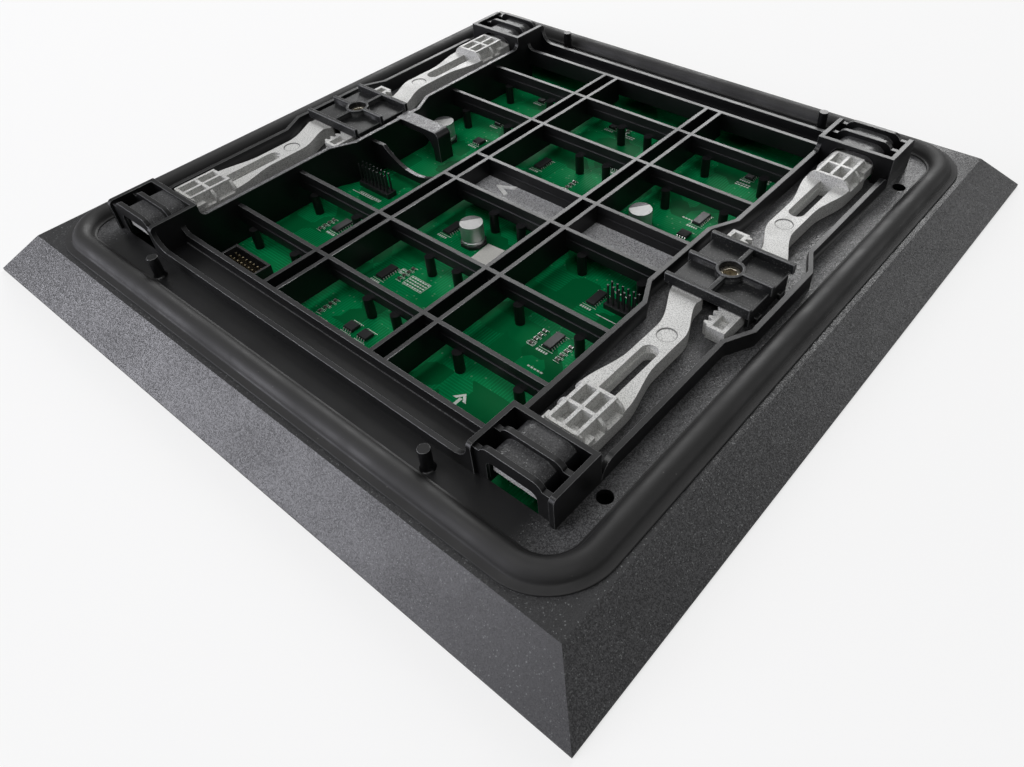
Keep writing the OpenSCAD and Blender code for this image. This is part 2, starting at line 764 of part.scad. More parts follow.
module arm_outline() {
    bend_steps = 14;
    flare_steps = 8;
    stations = concat([-rack_tail, rack_front],
        [for (i = [1:bend_steps]) rack_front + (bend_end - rack_front) * i / bend_steps],
        [for (i = [0:flare_steps]) flare_start + (head_start - flare_start) * i / flare_steps]);
    right = [for (v = stations) [outer_side(v), v]];
    left = [for (i = [len(stations) - 1:-1:0]) [inner_side(stations[i]), stations[i]]];
    corner = [for (a = [0:15:90])
        [head_half, head_end] + head_corner_r * [cos(a) - 1, sin(a) - 1]];
    far = [for (i = [len(corner) - 1:-1:0]) [-corner[i].x, corner[i].y]];
    polygon(concat(right, corner, far, left));
}

module rack_teeth() {
    pitch = PI * tooth_m;
    count = floor((rack_tail - pitch / 2) / pitch);
    root_y = pitch / 4 - play + tan(pressure) * (rack_root - pitch_r);
    tip_y = pitch / 4 - play - tan(pressure) * (pitch_r - rack_tip);
    seat = rack_root + 0.2;
    for (i = [-count:2]) translate([0, i * pitch]) polygon([
        [rack_tip, tip_y], [rack_root, root_y], [seat, root_y],
        [seat, -root_y], [rack_root, -root_y], [rack_tip, -tip_y]
    ]);
}

// Slot along the arm, round at its start and square against the head
module half_slot(v0, d) {
    translate([-d / 2, v0 + d / 2]) square([d, head_start - v0 - d / 2]);
    translate([0, v0 + d / 2]) circle(d = d);
}

// Head: round-shouldered cross ribs tied by three long ribs
module head_ribs() {
    step = (head_len - head_rib_t) / 2;
    long_u = 0.6 * head_half;
    for (i = [0:2]) along_y(head_start + i * step, head_start + i * step + head_rib_t)
        loaf(head_half, arm_low, head_top, tunnel_r);
    for (u = [-long_u, 0, long_u])
        slab(u - head_rib_t / 2, u + head_rib_t / 2, head_start, head_end, arm_low, head_top);
}

module latch_arm() {
    recess = 3;
    slot_start = bend_end + 9;
    slot_w = 0.6 * arm_w;
    ledge = 0.6;
    tail_pocket = [4, 6.5, 2.6];
    difference() {
        union() {
            difference() {
                translate([0, 0, arm_low]) linear_extrude(arm_z - arm_low) arm_outline();
                slab(-arm_w, arm_w, head_start + head_rib_t, head_end + past, head_floor, arm_z + past);
            }
            translate([0, 0, arm_low]) linear_extrude(rack_z - arm_low) rack_teeth();
            intersection() {
                translate([0, 0, arm_low]) linear_extrude(head_top) arm_outline();
                head_ribs();
            }
            slab(-tongue_half, tongue_half, head_end - head_corner_r, tongue_end,
                 tongue_low, tongue_low + tongue_t);
        }
        along_x(-2 * rack_back, 2 * rack_back) polygon([
            [-rack_tail - past, rack_z], [ramp_start, rack_z], [ramp_end, arm_z],
            [ramp_end, arm_z + past], [-rack_tail - past, arm_z + past]]);
        translate([0, 0, arm_z - recess]) linear_extrude(head_top) half_slot(slot_start, slot_w);
        translate([0, 0, arm_low - past]) linear_extrude(head_top)
            half_slot(slot_start + ledge, slot_w - 2 * ledge);
        translate([0, bend_end + 2, arm_z - 0.3]) cylinder(d = 7, h = past);
        translate([bar_middle - tail_pocket.x / 2, 1.4 - rack_tail, rack_z - tail_pocket.z])
            cube(tail_pocket + [0, 0, past]);
    }
}

module at_lock(side, turn = 0) {
    translate([side * latch_x, 0, 0]) rotate([0, 0, turn]) children();
}

back_case();
sealing_gasket();
front_mask();
circuit_board();
led_lamps();
mask_screws();
driver_chips();
logic_chips();
chip_passives();
capacitor_cans();
capacitor_bases();
data_header();
data_header_pins();
pin_headers();
pin_header_pins();
board_sticker();
color("#2b2c2f") at_lock(-1) lock_cover();  // lock_cover_left
color("#2b2c2f") at_lock(1) lock_cover();  // lock_cover_right
color("#b9ab84") at_lock(-1) lock_spindle();  // lock_spindle_left
color("#b9ab84") at_lock(1) lock_spindle();  // lock_spindle_right
color("#111111") at_lock(-1) spindle_seal();  // spindle_seal_left
color("#111111") at_lock(1) spindle_seal();  // spindle_seal_right
color("#c4c4c2") at_lock(-1, 180) latch_arm();  // latch_arm_left_near
color("#c4c4c2") at_lock(-1) latch_arm();  // latch_arm_left_far
color("#c4c4c2") at_lock(1, 180) latch_arm();  // latch_arm_right_near
color("#c4c4c2") at_lock(1) latch_arm();  // latch_arm_right_far
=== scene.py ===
"""Looks of the display module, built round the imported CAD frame.

The part's own frame is used throughout, in metres: the lamp face lies on z = 0, +Z points to the back
of the module and the latches run along Y. Finishes measure places on a piece in millimetres.
"""

import logging
import math
from dataclasses import dataclass, field, replace
from enum import Enum

import bmesh
import bpy
import numpy as np
from mathutils import Matrix, Vector


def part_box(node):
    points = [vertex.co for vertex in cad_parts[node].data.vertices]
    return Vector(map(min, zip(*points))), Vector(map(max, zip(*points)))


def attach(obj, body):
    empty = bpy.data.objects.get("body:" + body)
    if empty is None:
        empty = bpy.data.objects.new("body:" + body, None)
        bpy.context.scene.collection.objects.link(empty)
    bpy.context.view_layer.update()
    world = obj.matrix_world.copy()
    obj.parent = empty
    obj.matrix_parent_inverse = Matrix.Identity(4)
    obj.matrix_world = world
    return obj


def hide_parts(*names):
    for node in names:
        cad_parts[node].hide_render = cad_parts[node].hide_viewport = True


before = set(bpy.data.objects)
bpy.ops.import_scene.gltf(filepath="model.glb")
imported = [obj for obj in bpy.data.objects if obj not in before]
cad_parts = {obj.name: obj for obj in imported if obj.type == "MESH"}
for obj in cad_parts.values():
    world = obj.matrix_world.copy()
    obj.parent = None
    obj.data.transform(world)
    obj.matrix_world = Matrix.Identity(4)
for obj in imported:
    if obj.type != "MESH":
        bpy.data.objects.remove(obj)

LOG = logging.getLogger("led_module")
MM = 0.001
ROOT = "module"
# Face attribute of the case: share of the sand grain, and a paler tone that is painted light on some faces.
GRAIN_AND_PAINTED_LIGHT = "grain"

# Heights and places that several pieces share, in mm
BOARD_Z = 3.6
PLATE_Z = 12.3
FLANGE_Z = 16.0
LATCH_X = 104.0

# Merging distance and flatness for copies of CAD meshes, and the part of a noise that is used
WELD = 0.002 * MM
FLAT = math.radians(0.4)
NOISE_MID = (0.3, 0.7)

# Corners of a square, anticlockwise from above
SQUARE = np.array([[-1, -1], [1, -1], [1, 1], [-1, 1]])

Colour = tuple[float, float, float]


class Sh:
    """A shader socket with arithmetic: each operator adds one Math node to its tree."""

    def __init__(self, tree: bpy.types.NodeTree, socket: bpy.types.NodeSocket | None = None) -> None:
        """Hold a tree and one socket of it, or the tree alone."""
        self.tree = tree
        self.socket = socket

    def node(self, kind: str, settings: dict | None = None, out: int | str = 0, **inputs: object) -> "Sh":
        """Add a node, set its options first and then its sockets.

        Args:
            kind: Blender's node type.
            settings: node properties such as operation or data type.
            out: index or name of the output that is handed on.
            inputs: values or other Sh by socket; i0, i1 stand for socket numbers.

        Returns:
            The chosen output as a new Sh.
        """
        made = self.tree.nodes.new(kind)
        for name, value in (settings or {}).items():
            setattr(made, name, value)
        for name, value in inputs.items():
            number = name[0] == "i" and name[1:].isdigit()
            target = made.inputs[int(name[1:]) if number else name.replace("_", " ")]
            if isinstance(value, Sh):
                self.tree.links.new(value.socket, target)
            elif isinstance(value, tuple) and len(value) == 3 and target.type == "RGBA":
                target.default_value = (*value, 1.0)
            else:
                target.default_value = value
        return Sh(self.tree, made.outputs[out])

    def math(self, operation: str, a: "Sh | float", b: "Sh | float" = 0.0) -> "Sh":
        """One Math node of two operands."""
        return self.node("ShaderNodeMath", {"operation": operation}, i0=a, i1=b)

    def __add__(self, other: "Sh | float") -> "Sh":
        """This plus a value."""
        return self.math("ADD", self, other)

    def __sub__(self, other: "Sh | float") -> "Sh":
        """This less a value."""
        return self.math("SUBTRACT", self, other)

    def __mul__(self, other: "Sh | float") -> "Sh":
        """This times a value."""
        return self.math("MULTIPLY", self, other)

    def __truediv__(self, other: "Sh | float") -> "Sh":
        """This over a value."""
        return self.math("DIVIDE", self, other)

    def __rsub__(self, other: float) -> "Sh":
        """A number less this."""
        return self.math("SUBTRACT", other, self)

    def __rtruediv__(self, other: float) -> "Sh":
        """A number over this."""
        return self.math("DIVIDE", other, self)

    __radd__, __rmul__ = __add__, __mul__

    def __gt__(self, other: "Sh | float") -> "Sh":
        """1 where this is larger, else 0."""
        return self.math("GREATER_THAN", self, other)

    def __lt__(self, other: "Sh | float") -> "Sh":
        """1 where this is smaller, else 0."""
        return self.math("LESS_THAN", self, other)

    def abs(self) -> "Sh":
        """Size of a signed value."""
        return self.math("ABSOLUTE", self)

    def fract(self) -> "Sh":
        """Part after the point, for repeats."""
        return self.math("FRACT", self)

    def most(self, other: "Sh | float") -> "Sh":
        """The larger of two values."""
        return self.math("MAXIMUM", self, other)

    def ramp(self, low: float, high: float, to_low: float = 0.0, to_high: float = 1.0) -> "Sh":
        """Map the range from low to high smoothly onto the one from to_low to to_high."""
        return self.node("ShaderNodeMapRange", {"interpolation_type": "SMOOTHSTEP"}, i0=self,
                         i1=low, i2=high, i3=to_low, i4=to_high)

    def mix(self, first: "Sh | Colour", second: "Sh | Colour") -> "Sh":
        """Mix two colours by this value: the first at 0, the second at 1."""
        return self.node("ShaderNodeMix", {"data_type": "RGBA"}, out=2, i0=self, i6=first, i7=second)

    def part(self, index: int) -> "Sh":
        """One coordinate of a vector."""
        return self.node("ShaderNodeSeparateXYZ", out=index, i0=self)

    def vector(self, operation: str, **inputs: object) -> "Sh":
        """One Vector Math node on this vector."""
        return self.node("ShaderNodeVectorMath", {"operation": operation}, i0=self, **inputs)

    def noise(self, scale: float, detail: float = 2.0, rough: float = 0.5) -> "Sh":
        """Noise over this vector, about 0.5: repeats per unit, octaves, and weight of the finer ones."""
        return self.node("ShaderNodeTexNoise", Vector=self, Scale=scale, Detail=detail, Roughness=rough)

    def cells(self, scale: float, metric: str = "EUCLIDEAN", out: str = "Distance", spread: float = 1.0,
              flat: bool = False) -> "Sh":
        """Distance or Color of cells, scale per unit, with centres off the grid by spread; flat drops z."""
        settings = {"distance": metric, "voronoi_dimensions": "2D" if flat else "3D"}
        return self.node("ShaderNodeTexVoronoi", settings, out, Vector=self, Scale=scale, Randomness=spread)

    def bump(self, strength: float, distance: float) -> "Sh":
        """Normal from this height: share of the effect, and height of one unit in metres."""
        return self.node("ShaderNodeBump", Height=self, Strength=strength, Distance=distance)


@dataclass(frozen=True)
class Finish:
    """Base of all finishes: a Principled shader with constants and, in sub-classes, varying inputs."""

    name: str
    colour: Colour
    rough: float = 0.5
    metal: float = 0.0
    specular: float = 0.5

    def varying(self, place: Sh) -> dict[str, Sh]:
        """Shader inputs that vary with the place on the piece, by socket name."""
        return {}

    def material(self) -> bpy.types.Material:
        """Build the material once and hand it back later by name.

        Returns:
            The material.
        """
        title = f"looks_{self.name}"
        known = bpy.data.materials.get(title)
        if known:
            return known
        made = bpy.data.materials.new(title)
        made.use_nodes = True
        made.diffuse_color = (*self.colour, 1.0)
        tree = made.node_tree
        shader = tree.nodes["Principled BSDF"]
        constants = {"Base Color": (*self.colour, 1.0), "Roughness": self.rough, "Metallic": self.metal,
                     "Specular IOR Level": self.specular}
        for socket, value in constants.items():
            shader.inputs[socket].default_value = value
        place = Sh(tree).node("ShaderNodeTexCoord", out="Object").vector("MULTIPLY", i1=(1 / MM,) * 3)
        for socket, value in self.varying(place).items():
            tree.links.new(value.socket, shader.inputs[socket])
        return made


@dataclass(frozen=True)
class Mottled(Finish):
    """A finish whose tone and gloss wander a little, as on any handled small part."""

    grains: float = 0.8
    depth: float = 0.18
    band: tuple = (0.32, 0.68)
    sway: float = 0.07

    def varying(self, place: Sh) -> dict[str, Sh]:
        """Tone and gloss that follow one noise.

        Args:
            place: place on the piece, in mm.

        Returns:
            Inputs by socket name.
        """
        tone = place.noise(self.grains, detail=4.0, rough=0.6).ramp(*self.band)
        shades = (tuple(part * (1.0 + side) for part in self.colour) for side in (-self.depth, self.depth))
        return {"Base Color": tone.mix(*shades),
                "Roughness": tone * (2 * self.sway) + (self.rough - self.sway)}


@dataclass(frozen=True)
class LampFace(Finish):
    """White lamp bodies, each with a round resin window and a row of three dark chips behind it."""

    pitch: float = 320.0 / 24
    window: float = 1.4
    window_rough: float = 0.12
    resin: Colour = (0.5, 0.47, 0.34)
    chip: Colour = (0.06, 0.05, 0.03)
    chip_pitch: float = 0.65
    chip_share: float = 0.26
    chip_half: float = 0.17
    row_half: float = 0.9

    def varying(self, place: Sh) -> dict[str, Sh]:
        """Tone and gloss by the distance from the middle of the lamp, which repeats with the pitch.

        Args:
            place: place on the piece, in mm.

        Returns:
            Inputs by socket name.
        """
        u, v = (((place.part(i) / self.pitch).fract() - 0.5) * self.pitch for i in range(2))
        window = u * u + v * v < self.window * self.window
        column = ((u / self.chip_pitch + 0.5).fract() - 0.5).abs() < self.chip_share
        row = column * (v.abs() < self.chip_half) * (u.abs() < self.row_half)
        return {"Base Color": (window * row).mix(window.mix(self.colour, self.resin), self.chip),
                "Roughness": window * (self.window_rough - self.rough) + self.rough}


@dataclass(frozen=True)
class Grained(Finish):
    """Sand-grained moulding: each grain has its own tone, gloss and tilt; a few are pale as painted glints
    and dust.
    """

    grains: float = 3.0
    tilt: float = 0.22
    speck: Colour = (0.09, 0.09, 0.096)
    # Pale colour of the few sparse grains: painted glints, and dust on the cover.
    dust_and_glint: Colour = (0.14, 0.145, 0.145)
    sparse: float = 0.975
    gloss: float = 0.27
    sand: tuple = (0.1, 1.0, -0.6, 0.75)
    patches: float = 0.05
    drift: tuple = (-0.04, 0.05)

    def shares(self, place: Sh) -> tuple[Sh | float, Sh | float]:
        """Share of the pale tone and share of the grain, from 0 to 1."""
        return 1.0, 1.0

    def varying(self, place: Sh) -> dict[str, Sh]:
        """Tone, gloss and normal of the sand.

        Each cell of the grid is one grain with a random colour: its first part sets the tone and the gloss
        of the grain, its second part picks the few that get a pale colour as painted glints, and as dust on
        the cover, and the whole of it, taken from its middle value, is added to the normal. The gloss also
        drifts slowly from patch to patch.

        Args:
            place: place on the piece, in mm.

        Returns:
            Inputs by socket name.
        """
        pale, rough = self.shares(place)
        grain = place.cells(self.grains, out="Color")
        sand = grain.part(0)
        dull = place.noise(self.patches).ramp(*NOISE_MID, *self.drift)
        gloss = (sand - 0.5) * rough * self.gloss
        lean = grain.vector("ADD", i1=(-0.5,) * 3).vector("SCALE", Scale=self.tilt * rough)
        normal = place.node("ShaderNodeNewGeometry", out="Normal").vector("ADD", i1=lean)
        # On the case, the pale share is painted light on the floor plates, the bridge, the rib tops and the
        # flange within the gasket.
        tone = (sand.ramp(*self.sand) * rough + 1.0) * pale
        # Painted glints: a few grains take the pale colour, which on the cover is dust as well.
        dust_and_glint_specks = (grain.part(1) > self.sparse) * rough
        return {"Base Color": dust_and_glint_specks.mix(tone.mix(self.colour, self.speck), self.dust_and_glint),
                "Roughness": dull + self.rough - gloss,
                "Normal": normal.vector("NORMALIZE")}


@dataclass(frozen=True)
class CasePlastic(Grained):
    """The case moulding: sand grain, a paler tone on some faces as painted light, and smooth satin elsewhere.

    The mesh holds one value for each face: above 0 it is the tone of a grained face, and below 0 that of a
    smooth one; the pale tones of the floor plates, the bridge and the rib tops are painted light. On the
    flange, the strips along the two end walls are smooth and dark, as painted shade of the walls, and the
    sand within the gasket is paler than outside, as painted light.
    """

    # Flange strips by the end walls lose grain and tone as painted shade; within the gasket the tone is
    # raised as painted light.
    shaded_strip_x: tuple = (110.0, 126.0)
    shaded_strip_y: tuple = (108.0, 138.0)
    flange_z: tuple = (FLANGE_Z - 0.5, FLANGE_Z + 1.0)
    gasket: float = 134.7
    inner_light_gain: float = 1.6
    full_grain: float = 0.03

    def shares(self, place: Sh) -> tuple[Sh, Sh]:
        """Tone and grain as the mesh holds them, changed by place on the flange: painted shade on the strips
        by the end walls, and painted light within the gasket.

        Args:
            place: place on the piece, in mm.

        Returns:
            Share of the pale tone, in part painted light, and share of the grain.
        """
        share = place.node("ShaderNodeAttribute", {"attribute_name": GRAIN_AND_PAINTED_LIGHT}, out="Fac")
        x, y, z = (place.part(i) for i in range(3))
        across, along = x.abs(), y.abs()
        flange = (z > self.flange_z[0]) * (z < self.flange_z[1])
        # Painted shade: the strips by the end walls get neither grain nor pale tone.
        strip = flange * (along > self.shaded_strip_y[0]) * (along < self.shaded_strip_y[1])
        strip = strip * across.ramp(*self.shaded_strip_x, 1.0, 0.0)
        # Painted light: the flange within the gasket gets a paler tone.
        inner = flange * (across.most(along) < self.gasket) * self.inner_light_gain
        share = share * (1.0 - strip) * (inner + 1.0)
        return share.abs(), share.ramp(0.0, self.full_grain)


@dataclass(frozen=True)
class Rubber(Finish):
    """Satin rubber with slow dull bands and a few dust specks."""

    dust: Colour = (0.1, 0.097, 0.093)
    bands: float = 0.06
    sway: tuple = (-0.07, 0.1)
    specks: float = 0.35
    speck_size: float = 0.07
    dusty: float = 0.2
    dusty_from: tuple = (0.52, 0.64)
    skin: float = 1.4
    relief: tuple = (0.12, 0.1 * MM)

    def varying(self, place: Sh) -> dict[str, Sh]:
        """Specks in the dusty places, gloss by bands, and a faint skin.

        Args:
            place: place on the piece, in mm.

        Returns:
            Inputs by socket name.
        """
        dusty = (place.cells(self.specks) < self.speck_size) * place.noise(self.dusty).ramp(*self.dusty_from)
        glossy, dull = (self.rough + side for side in self.sway)
        return {"Base Color": dusty.mix(self.colour, self.dust),
                "Roughness": place.noise(self.bands, detail=4.0).ramp(*NOISE_MID, glossy, dull),
                "Normal": place.noise(self.skin).bump(*self.relief)}


@dataclass(frozen=True)
class Cast(Finish):
    """Sand-blasted die casting: fine dark pits, pale crowns, slow gloss changes, painted shade round a round
    spot.
    """

    pits: Colour = (0.29, 0.29, 0.282)
    sand: tuple = (2.3, 3.0, 0.65)
    crowns: tuple = (0.34, 0.56)
    relief: tuple = (0.3, 0.12 * MM)
    patches: float = 0.12
    sway: float = 0.08
    # Dark ring round the shallow round spot on each arm: painted shade along its step.
    spot_shade_ring: Colour = (0.22, 0.22, 0.215)
    spot: tuple = (LATCH_X, 40.0)
    spot_shade_from: float = 3.3
    spot_shade_to: float = 3.75

    def varying(self, place: Sh) -> dict[str, Sh]:
        """Tone, gloss and height of the sand, and a ring of painted shade round the round spot on each arm.

        Args:
            place: place on the piece, in mm.

        Returns:
            Inputs by socket name.
        """
        across, along = (place.part(i).abs() - self.spot[i] for i in range(2))
        reach = across * across + along * along
        # Painted shade: a dark ring all the way round the spot.
        spot_shade_ring = (reach > self.spot_shade_from ** 2) * (reach < self.spot_shade_to ** 2)
        grain = place.noise(*self.sand)
        shade = grain.ramp(*self.crowns).mix(self.pits, self.colour)
        glossy, dull = self.rough - self.sway, self.rough + self.sway
        return {"Base Color": spot_shade_ring.mix(shade, self.spot_shade_ring),
                "Roughness": place.noise(self.patches).ramp(*NOISE_MID, glossy, dull),
                "Normal": grain.bump(*self.relief)}


@dataclass(frozen=True)
class Board(Finish):
    """Solder mask over copper: pours in several greens, runs of tracks, tinned vias, painted shade below the
    holes.
    """

    pour: Colour = (0.0005, 0.11, 0.032)
    pour_tone: tuple = (0.1, 0.75)
    blocks: float = 0.085
    block_spread: float = 0.7
    raised_over: float = 0.5
    track: Colour = (0.003, 0.3, 0.1)
    tracks: float = 0.78
    track_half: float = 0.17
    track_share: float = 0.5
    tracks_over: float = 0.35
    along_over: float = 0.5
    across_under: float = 0.32
    tin: Colour = (0.1, 0.3, 0.16)
    vias: float = 0.2
    via: tuple = (0.03, 0.075)
    vias_over: float = 0.6
    # Dark colour round the place below each fixing hole: painted shade of the hole, seen through it on the
    # board.
    hole_shade: Colour = (0.004, 0.005, 0.005)
    hole: tuple = (125.3, 101.7)
    hole_shade_reach: float = 20.0
    relief: tuple = (0.25, 0.04 * MM)

    def varying(self, place: Sh) -> dict[str, Sh]:
        """Tone and height by blocks of the board.

        Each block draws two numbers: the first picks its green and whether it has tracks and vias, the
        second the way that its tracks run.

        Args:
            place: place on the piece, in mm.

        Returns:
            Inputs by socket name.
        """
        x, y = (place.part(i) for i in range(2))
        blocks = place.cells(self.blocks, "CHEBYCHEV", "Color", self.block_spread, flat=True)
        pick, turn = (blocks.part(i) for i in range(2))
        along, across = (((way * self.tracks).fract() - 0.5).abs() < self.track_half for way in (x, y))
        lines = along * (turn > self.along_over) + across * (turn < self.across_under)
        lines = lines * (pick > self.tracks_over)
        base = pick.ramp(*self.pour_tone).mix(self.pour, self.colour)
        green = (lines * self.track_share).mix(base, self.track)
        hole = place.cells(self.vias, flat=True)
        ring = (hole > self.via[0]) * (hole < self.via[1]) * (pick > self.vias_over)
        # Painted shade: the board is dark round the place below each fixing hole.
        dx, dy = x.abs() - self.hole[0], y.abs() - self.hole[1]
        in_hole_shade = dx * dx + dy * dy < self.hole_shade_reach ** 2
        height = (lines + (pick > self.raised_over)) * 0.5
        return {"Base Color": in_hole_shade.mix(ring.mix(green, self.tin), self.hole_shade),
                "Normal": height.bump(*self.relief)}


@dataclass(frozen=True)
class CanMetal(Finish):
    """Drawn aluminium can: fine turning lines and a dark segment printed on its top."""

    ink: Colour = (0.02, 0.02, 0.022)
    ink_way: tuple = (-0.8, 0.6)
    ink_from: float = 2.0
    lid: Colour = (0.3, 0.3, 0.295)
    lid_dull: float = 0.6
    top: float = 14.05
    half: float = 5.2
    stretch: float = 9.0
    sway: tuple = (-0.06, 0.08)
    centres: tuple = ()

    def varying(self, place: Sh) -> dict[str, Sh]:
        """Tone and metal of lid and print, and gloss by the turning lines.

        The printed segment lies beyond a line across the lid, at one distance from the can's centre.

        Args:
            place: place on the piece, in mm.

        Returns:
            Inputs by socket name.
        """
        x, y, z = (place.part(i) for i in range(3))
        lid = z > self.top
        dark = 0.0
        for cx, cy in self.centres:
            u, v = x - cx, y - cy
            near = (u.abs() < self.half) * (v.abs() < self.half)
            dark = near * (u * self.ink_way[0] + v * self.ink_way[1] > self.ink_from) + dark
        printed = dark * lid
        lines = place.vector("MULTIPLY", i1=(1.0, 1.0, self.stretch)).noise(1.0, detail=3.0)
        glossy, dull = (self.rough + side for side in self.sway)
        return {"Base Color": printed.mix(lid.mix(self.colour, self.lid), self.ink),
                "Metallic": (1.0 - printed) * (1.0 - lid * self.lid_dull),
                "Roughness": lines.ramp(*NOISE_MID, glossy, dull)}


# The case's pale tone: mixed in by face, it is painted light on the floor plates, the bridge, the rib tops
# and the flange within the gasket.
CASE = CasePlastic("case_plastic", (0.0042, 0.0043, 0.0047), 0.36, specular=0.37, speck=(0.5, 0.5, 0.515))
# Paler rounded edges of the case: painted highlight.
EDGE = Mottled("case_edge_highlight", (0.11, 0.1115, 0.113), 0.32)
RUBBER = Rubber("gasket_rubber", (0.016, 0.0158, 0.0158), 0.56, specular=0.38)
CAST = Cast("arm_cast", (0.64, 0.64, 0.62), 0.46, metal=0.05)
# The cover's pale specks are dust and painted glints.
COVER = Grained("cover_plastic", (0.005, 0.0052, 0.0056), 0.44, specular=0.22, tilt=0.05,
                speck=(0.012, 0.0125, 0.013), dust_and_glint=(0.06, 0.06, 0.058), sparse=0.94, gloss=0.1)
# Paler rounded edges of the covers: painted highlight.
COVER_EDGE_HIGHLIGHT = Mottled("cover_edge_highlight", (0.09, 0.092, 0.093), 0.3)
BOARD = Board("board_mask", (0.0006, 0.19, 0.056), 0.5, specular=0.03)
INK = Mottled("board_ink", (0.66, 0.71, 0.66), 0.6)
EPOXY = Mottled("chip_epoxy", (0.014, 0.014, 0.015), 0.5, grains=3.0, depth=0.4)
TIN = Mottled("tinned_lead", (0.66, 0.66, 0.64), 0.3, metal=1.0)
CERAMIC = Mottled("passive_body", (0.06, 0.05, 0.04), 0.45)
HOUSING = Mottled("header_black", (0.011, 0.011, 0.012), 0.42, grains=2.0, depth=0.4)
GOLD = Mottled("pin_gold", (0.42, 0.35, 0.22), 0.34, metal=1.0)
PAPER = Mottled("sticker_paper", (0.76, 0.75, 0.71), 0.65, grains=1.5, depth=0.05)
BRASS = Mottled("spindle_metal", (0.5, 0.46, 0.38), 0.32, metal=1.0, grains=1.2, depth=0.25)
SEAL = Mottled("seal_rubber", (0.012, 0.012, 0.012), 0.5, depth=0.3)
# The mask's pale specks are painted glints.
MASK = Grained("mask_plastic", (0.01, 0.01, 0.0105), 0.6, specular=0.35, tilt=0.2,
               speck=(0.022, 0.022, 0.023), dust_and_glint=(0.04, 0.04, 0.041), gloss=0.1)
LAMP = LampFace("lamp_face", (0.72, 0.71, 0.66), 0.4)
SCREW = Mottled("screw_steel", (0.1, 0.1, 0.105), 0.4, metal=1.0, grains=2.0, depth=0.3)
# Pale colour of the raised plate arrow, which is case plastic: painted highlight.
ARROW_HIGHLIGHT = Mottled("arrow_highlight", (0.82, 0.82, 0.81), 0.35, depth=0.1)
CAN = CanMetal("can_metal", (0.62, 0.63, 0.63), 0.46, metal=1.0)


def finished(obj: bpy.types.Object, finish: Finish, body: str, slot: str, *nodes: str) -> bpy.types.Object:
    """Give a piece its finish and body, and hide the CAD nodes that it stands for.

    Args:
        obj: the piece.
        finish: its finish.
        body: the CAD body that it rides on.
        slot: not used.
        nodes: CAD nodes that it replaces.

    Returns:
        The same piece.
    """
    obj.data.materials.clear()
    obj.data.materials.append(finish.material())
    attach(obj, body)
    if nodes:
        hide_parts(*nodes)
    return obj


def linked(name: str, data: bpy.types.ID) -> bpy.types.Object:
    """Link a mesh, camera or light as an object at the origin.

    Args:
        name: the object's name.
        data: its mesh, camera or light.

    Returns:
        The new object.
    """
    obj = bpy.data.objects.new(name, data)
    bpy.context.scene.collection.objects.link(obj)
    return obj


def held(items: bpy.types.bpy_prop_collection, name: str, width: int = 3, kind: type = float) -> np.ndarray:
    """Read one property of a mesh's vertices, edges or faces.

    Args:
        items: the vertices, edges or faces.
        name: the property.
        width: how many numbers it has.
        kind: type of the numbers.

    Returns:
        One row for each item.
    """
    flat = np.empty(len(items) * width, kind)
    items.foreach_get(name, flat)
    return flat.reshape(-1, width)


def solids(node: str) -> np.ndarray:
    """Boxes of the separate solids in a CAD node.

    Vertices at one place are joined, and each vertex takes the lowest label among its neighbours until
    nothing changes, so that every solid ends with one label.

    Args:
        node: the CAD node.

    Returns:
        Corners as (solid, 2, 3), in metres.
    """
    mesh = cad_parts[node].data
    place, joined = np.unique(np.round(held(mesh.vertices, "co"), 6), axis=0, return_inverse=True)
    a, b = joined.reshape(-1)[held(mesh.edges, "vertices", 2, int)].T
    label = np.arange(len(place))
    while True:
        new = label.copy()
        np.minimum.at(new, a, label[b])
        np.minimum.at(new, b, label[a])
        new = new[new]
        if np.array_equal(new, label):
            break
        label = new
    kinds, label = np.unique(label, return_inverse=True)
    low = np.full((len(kinds), 3), np.inf)
    high = -low
    np.minimum.at(low, label, place)
    np.maximum.at(high, label, place)
    return np.stack([low, high], 1)


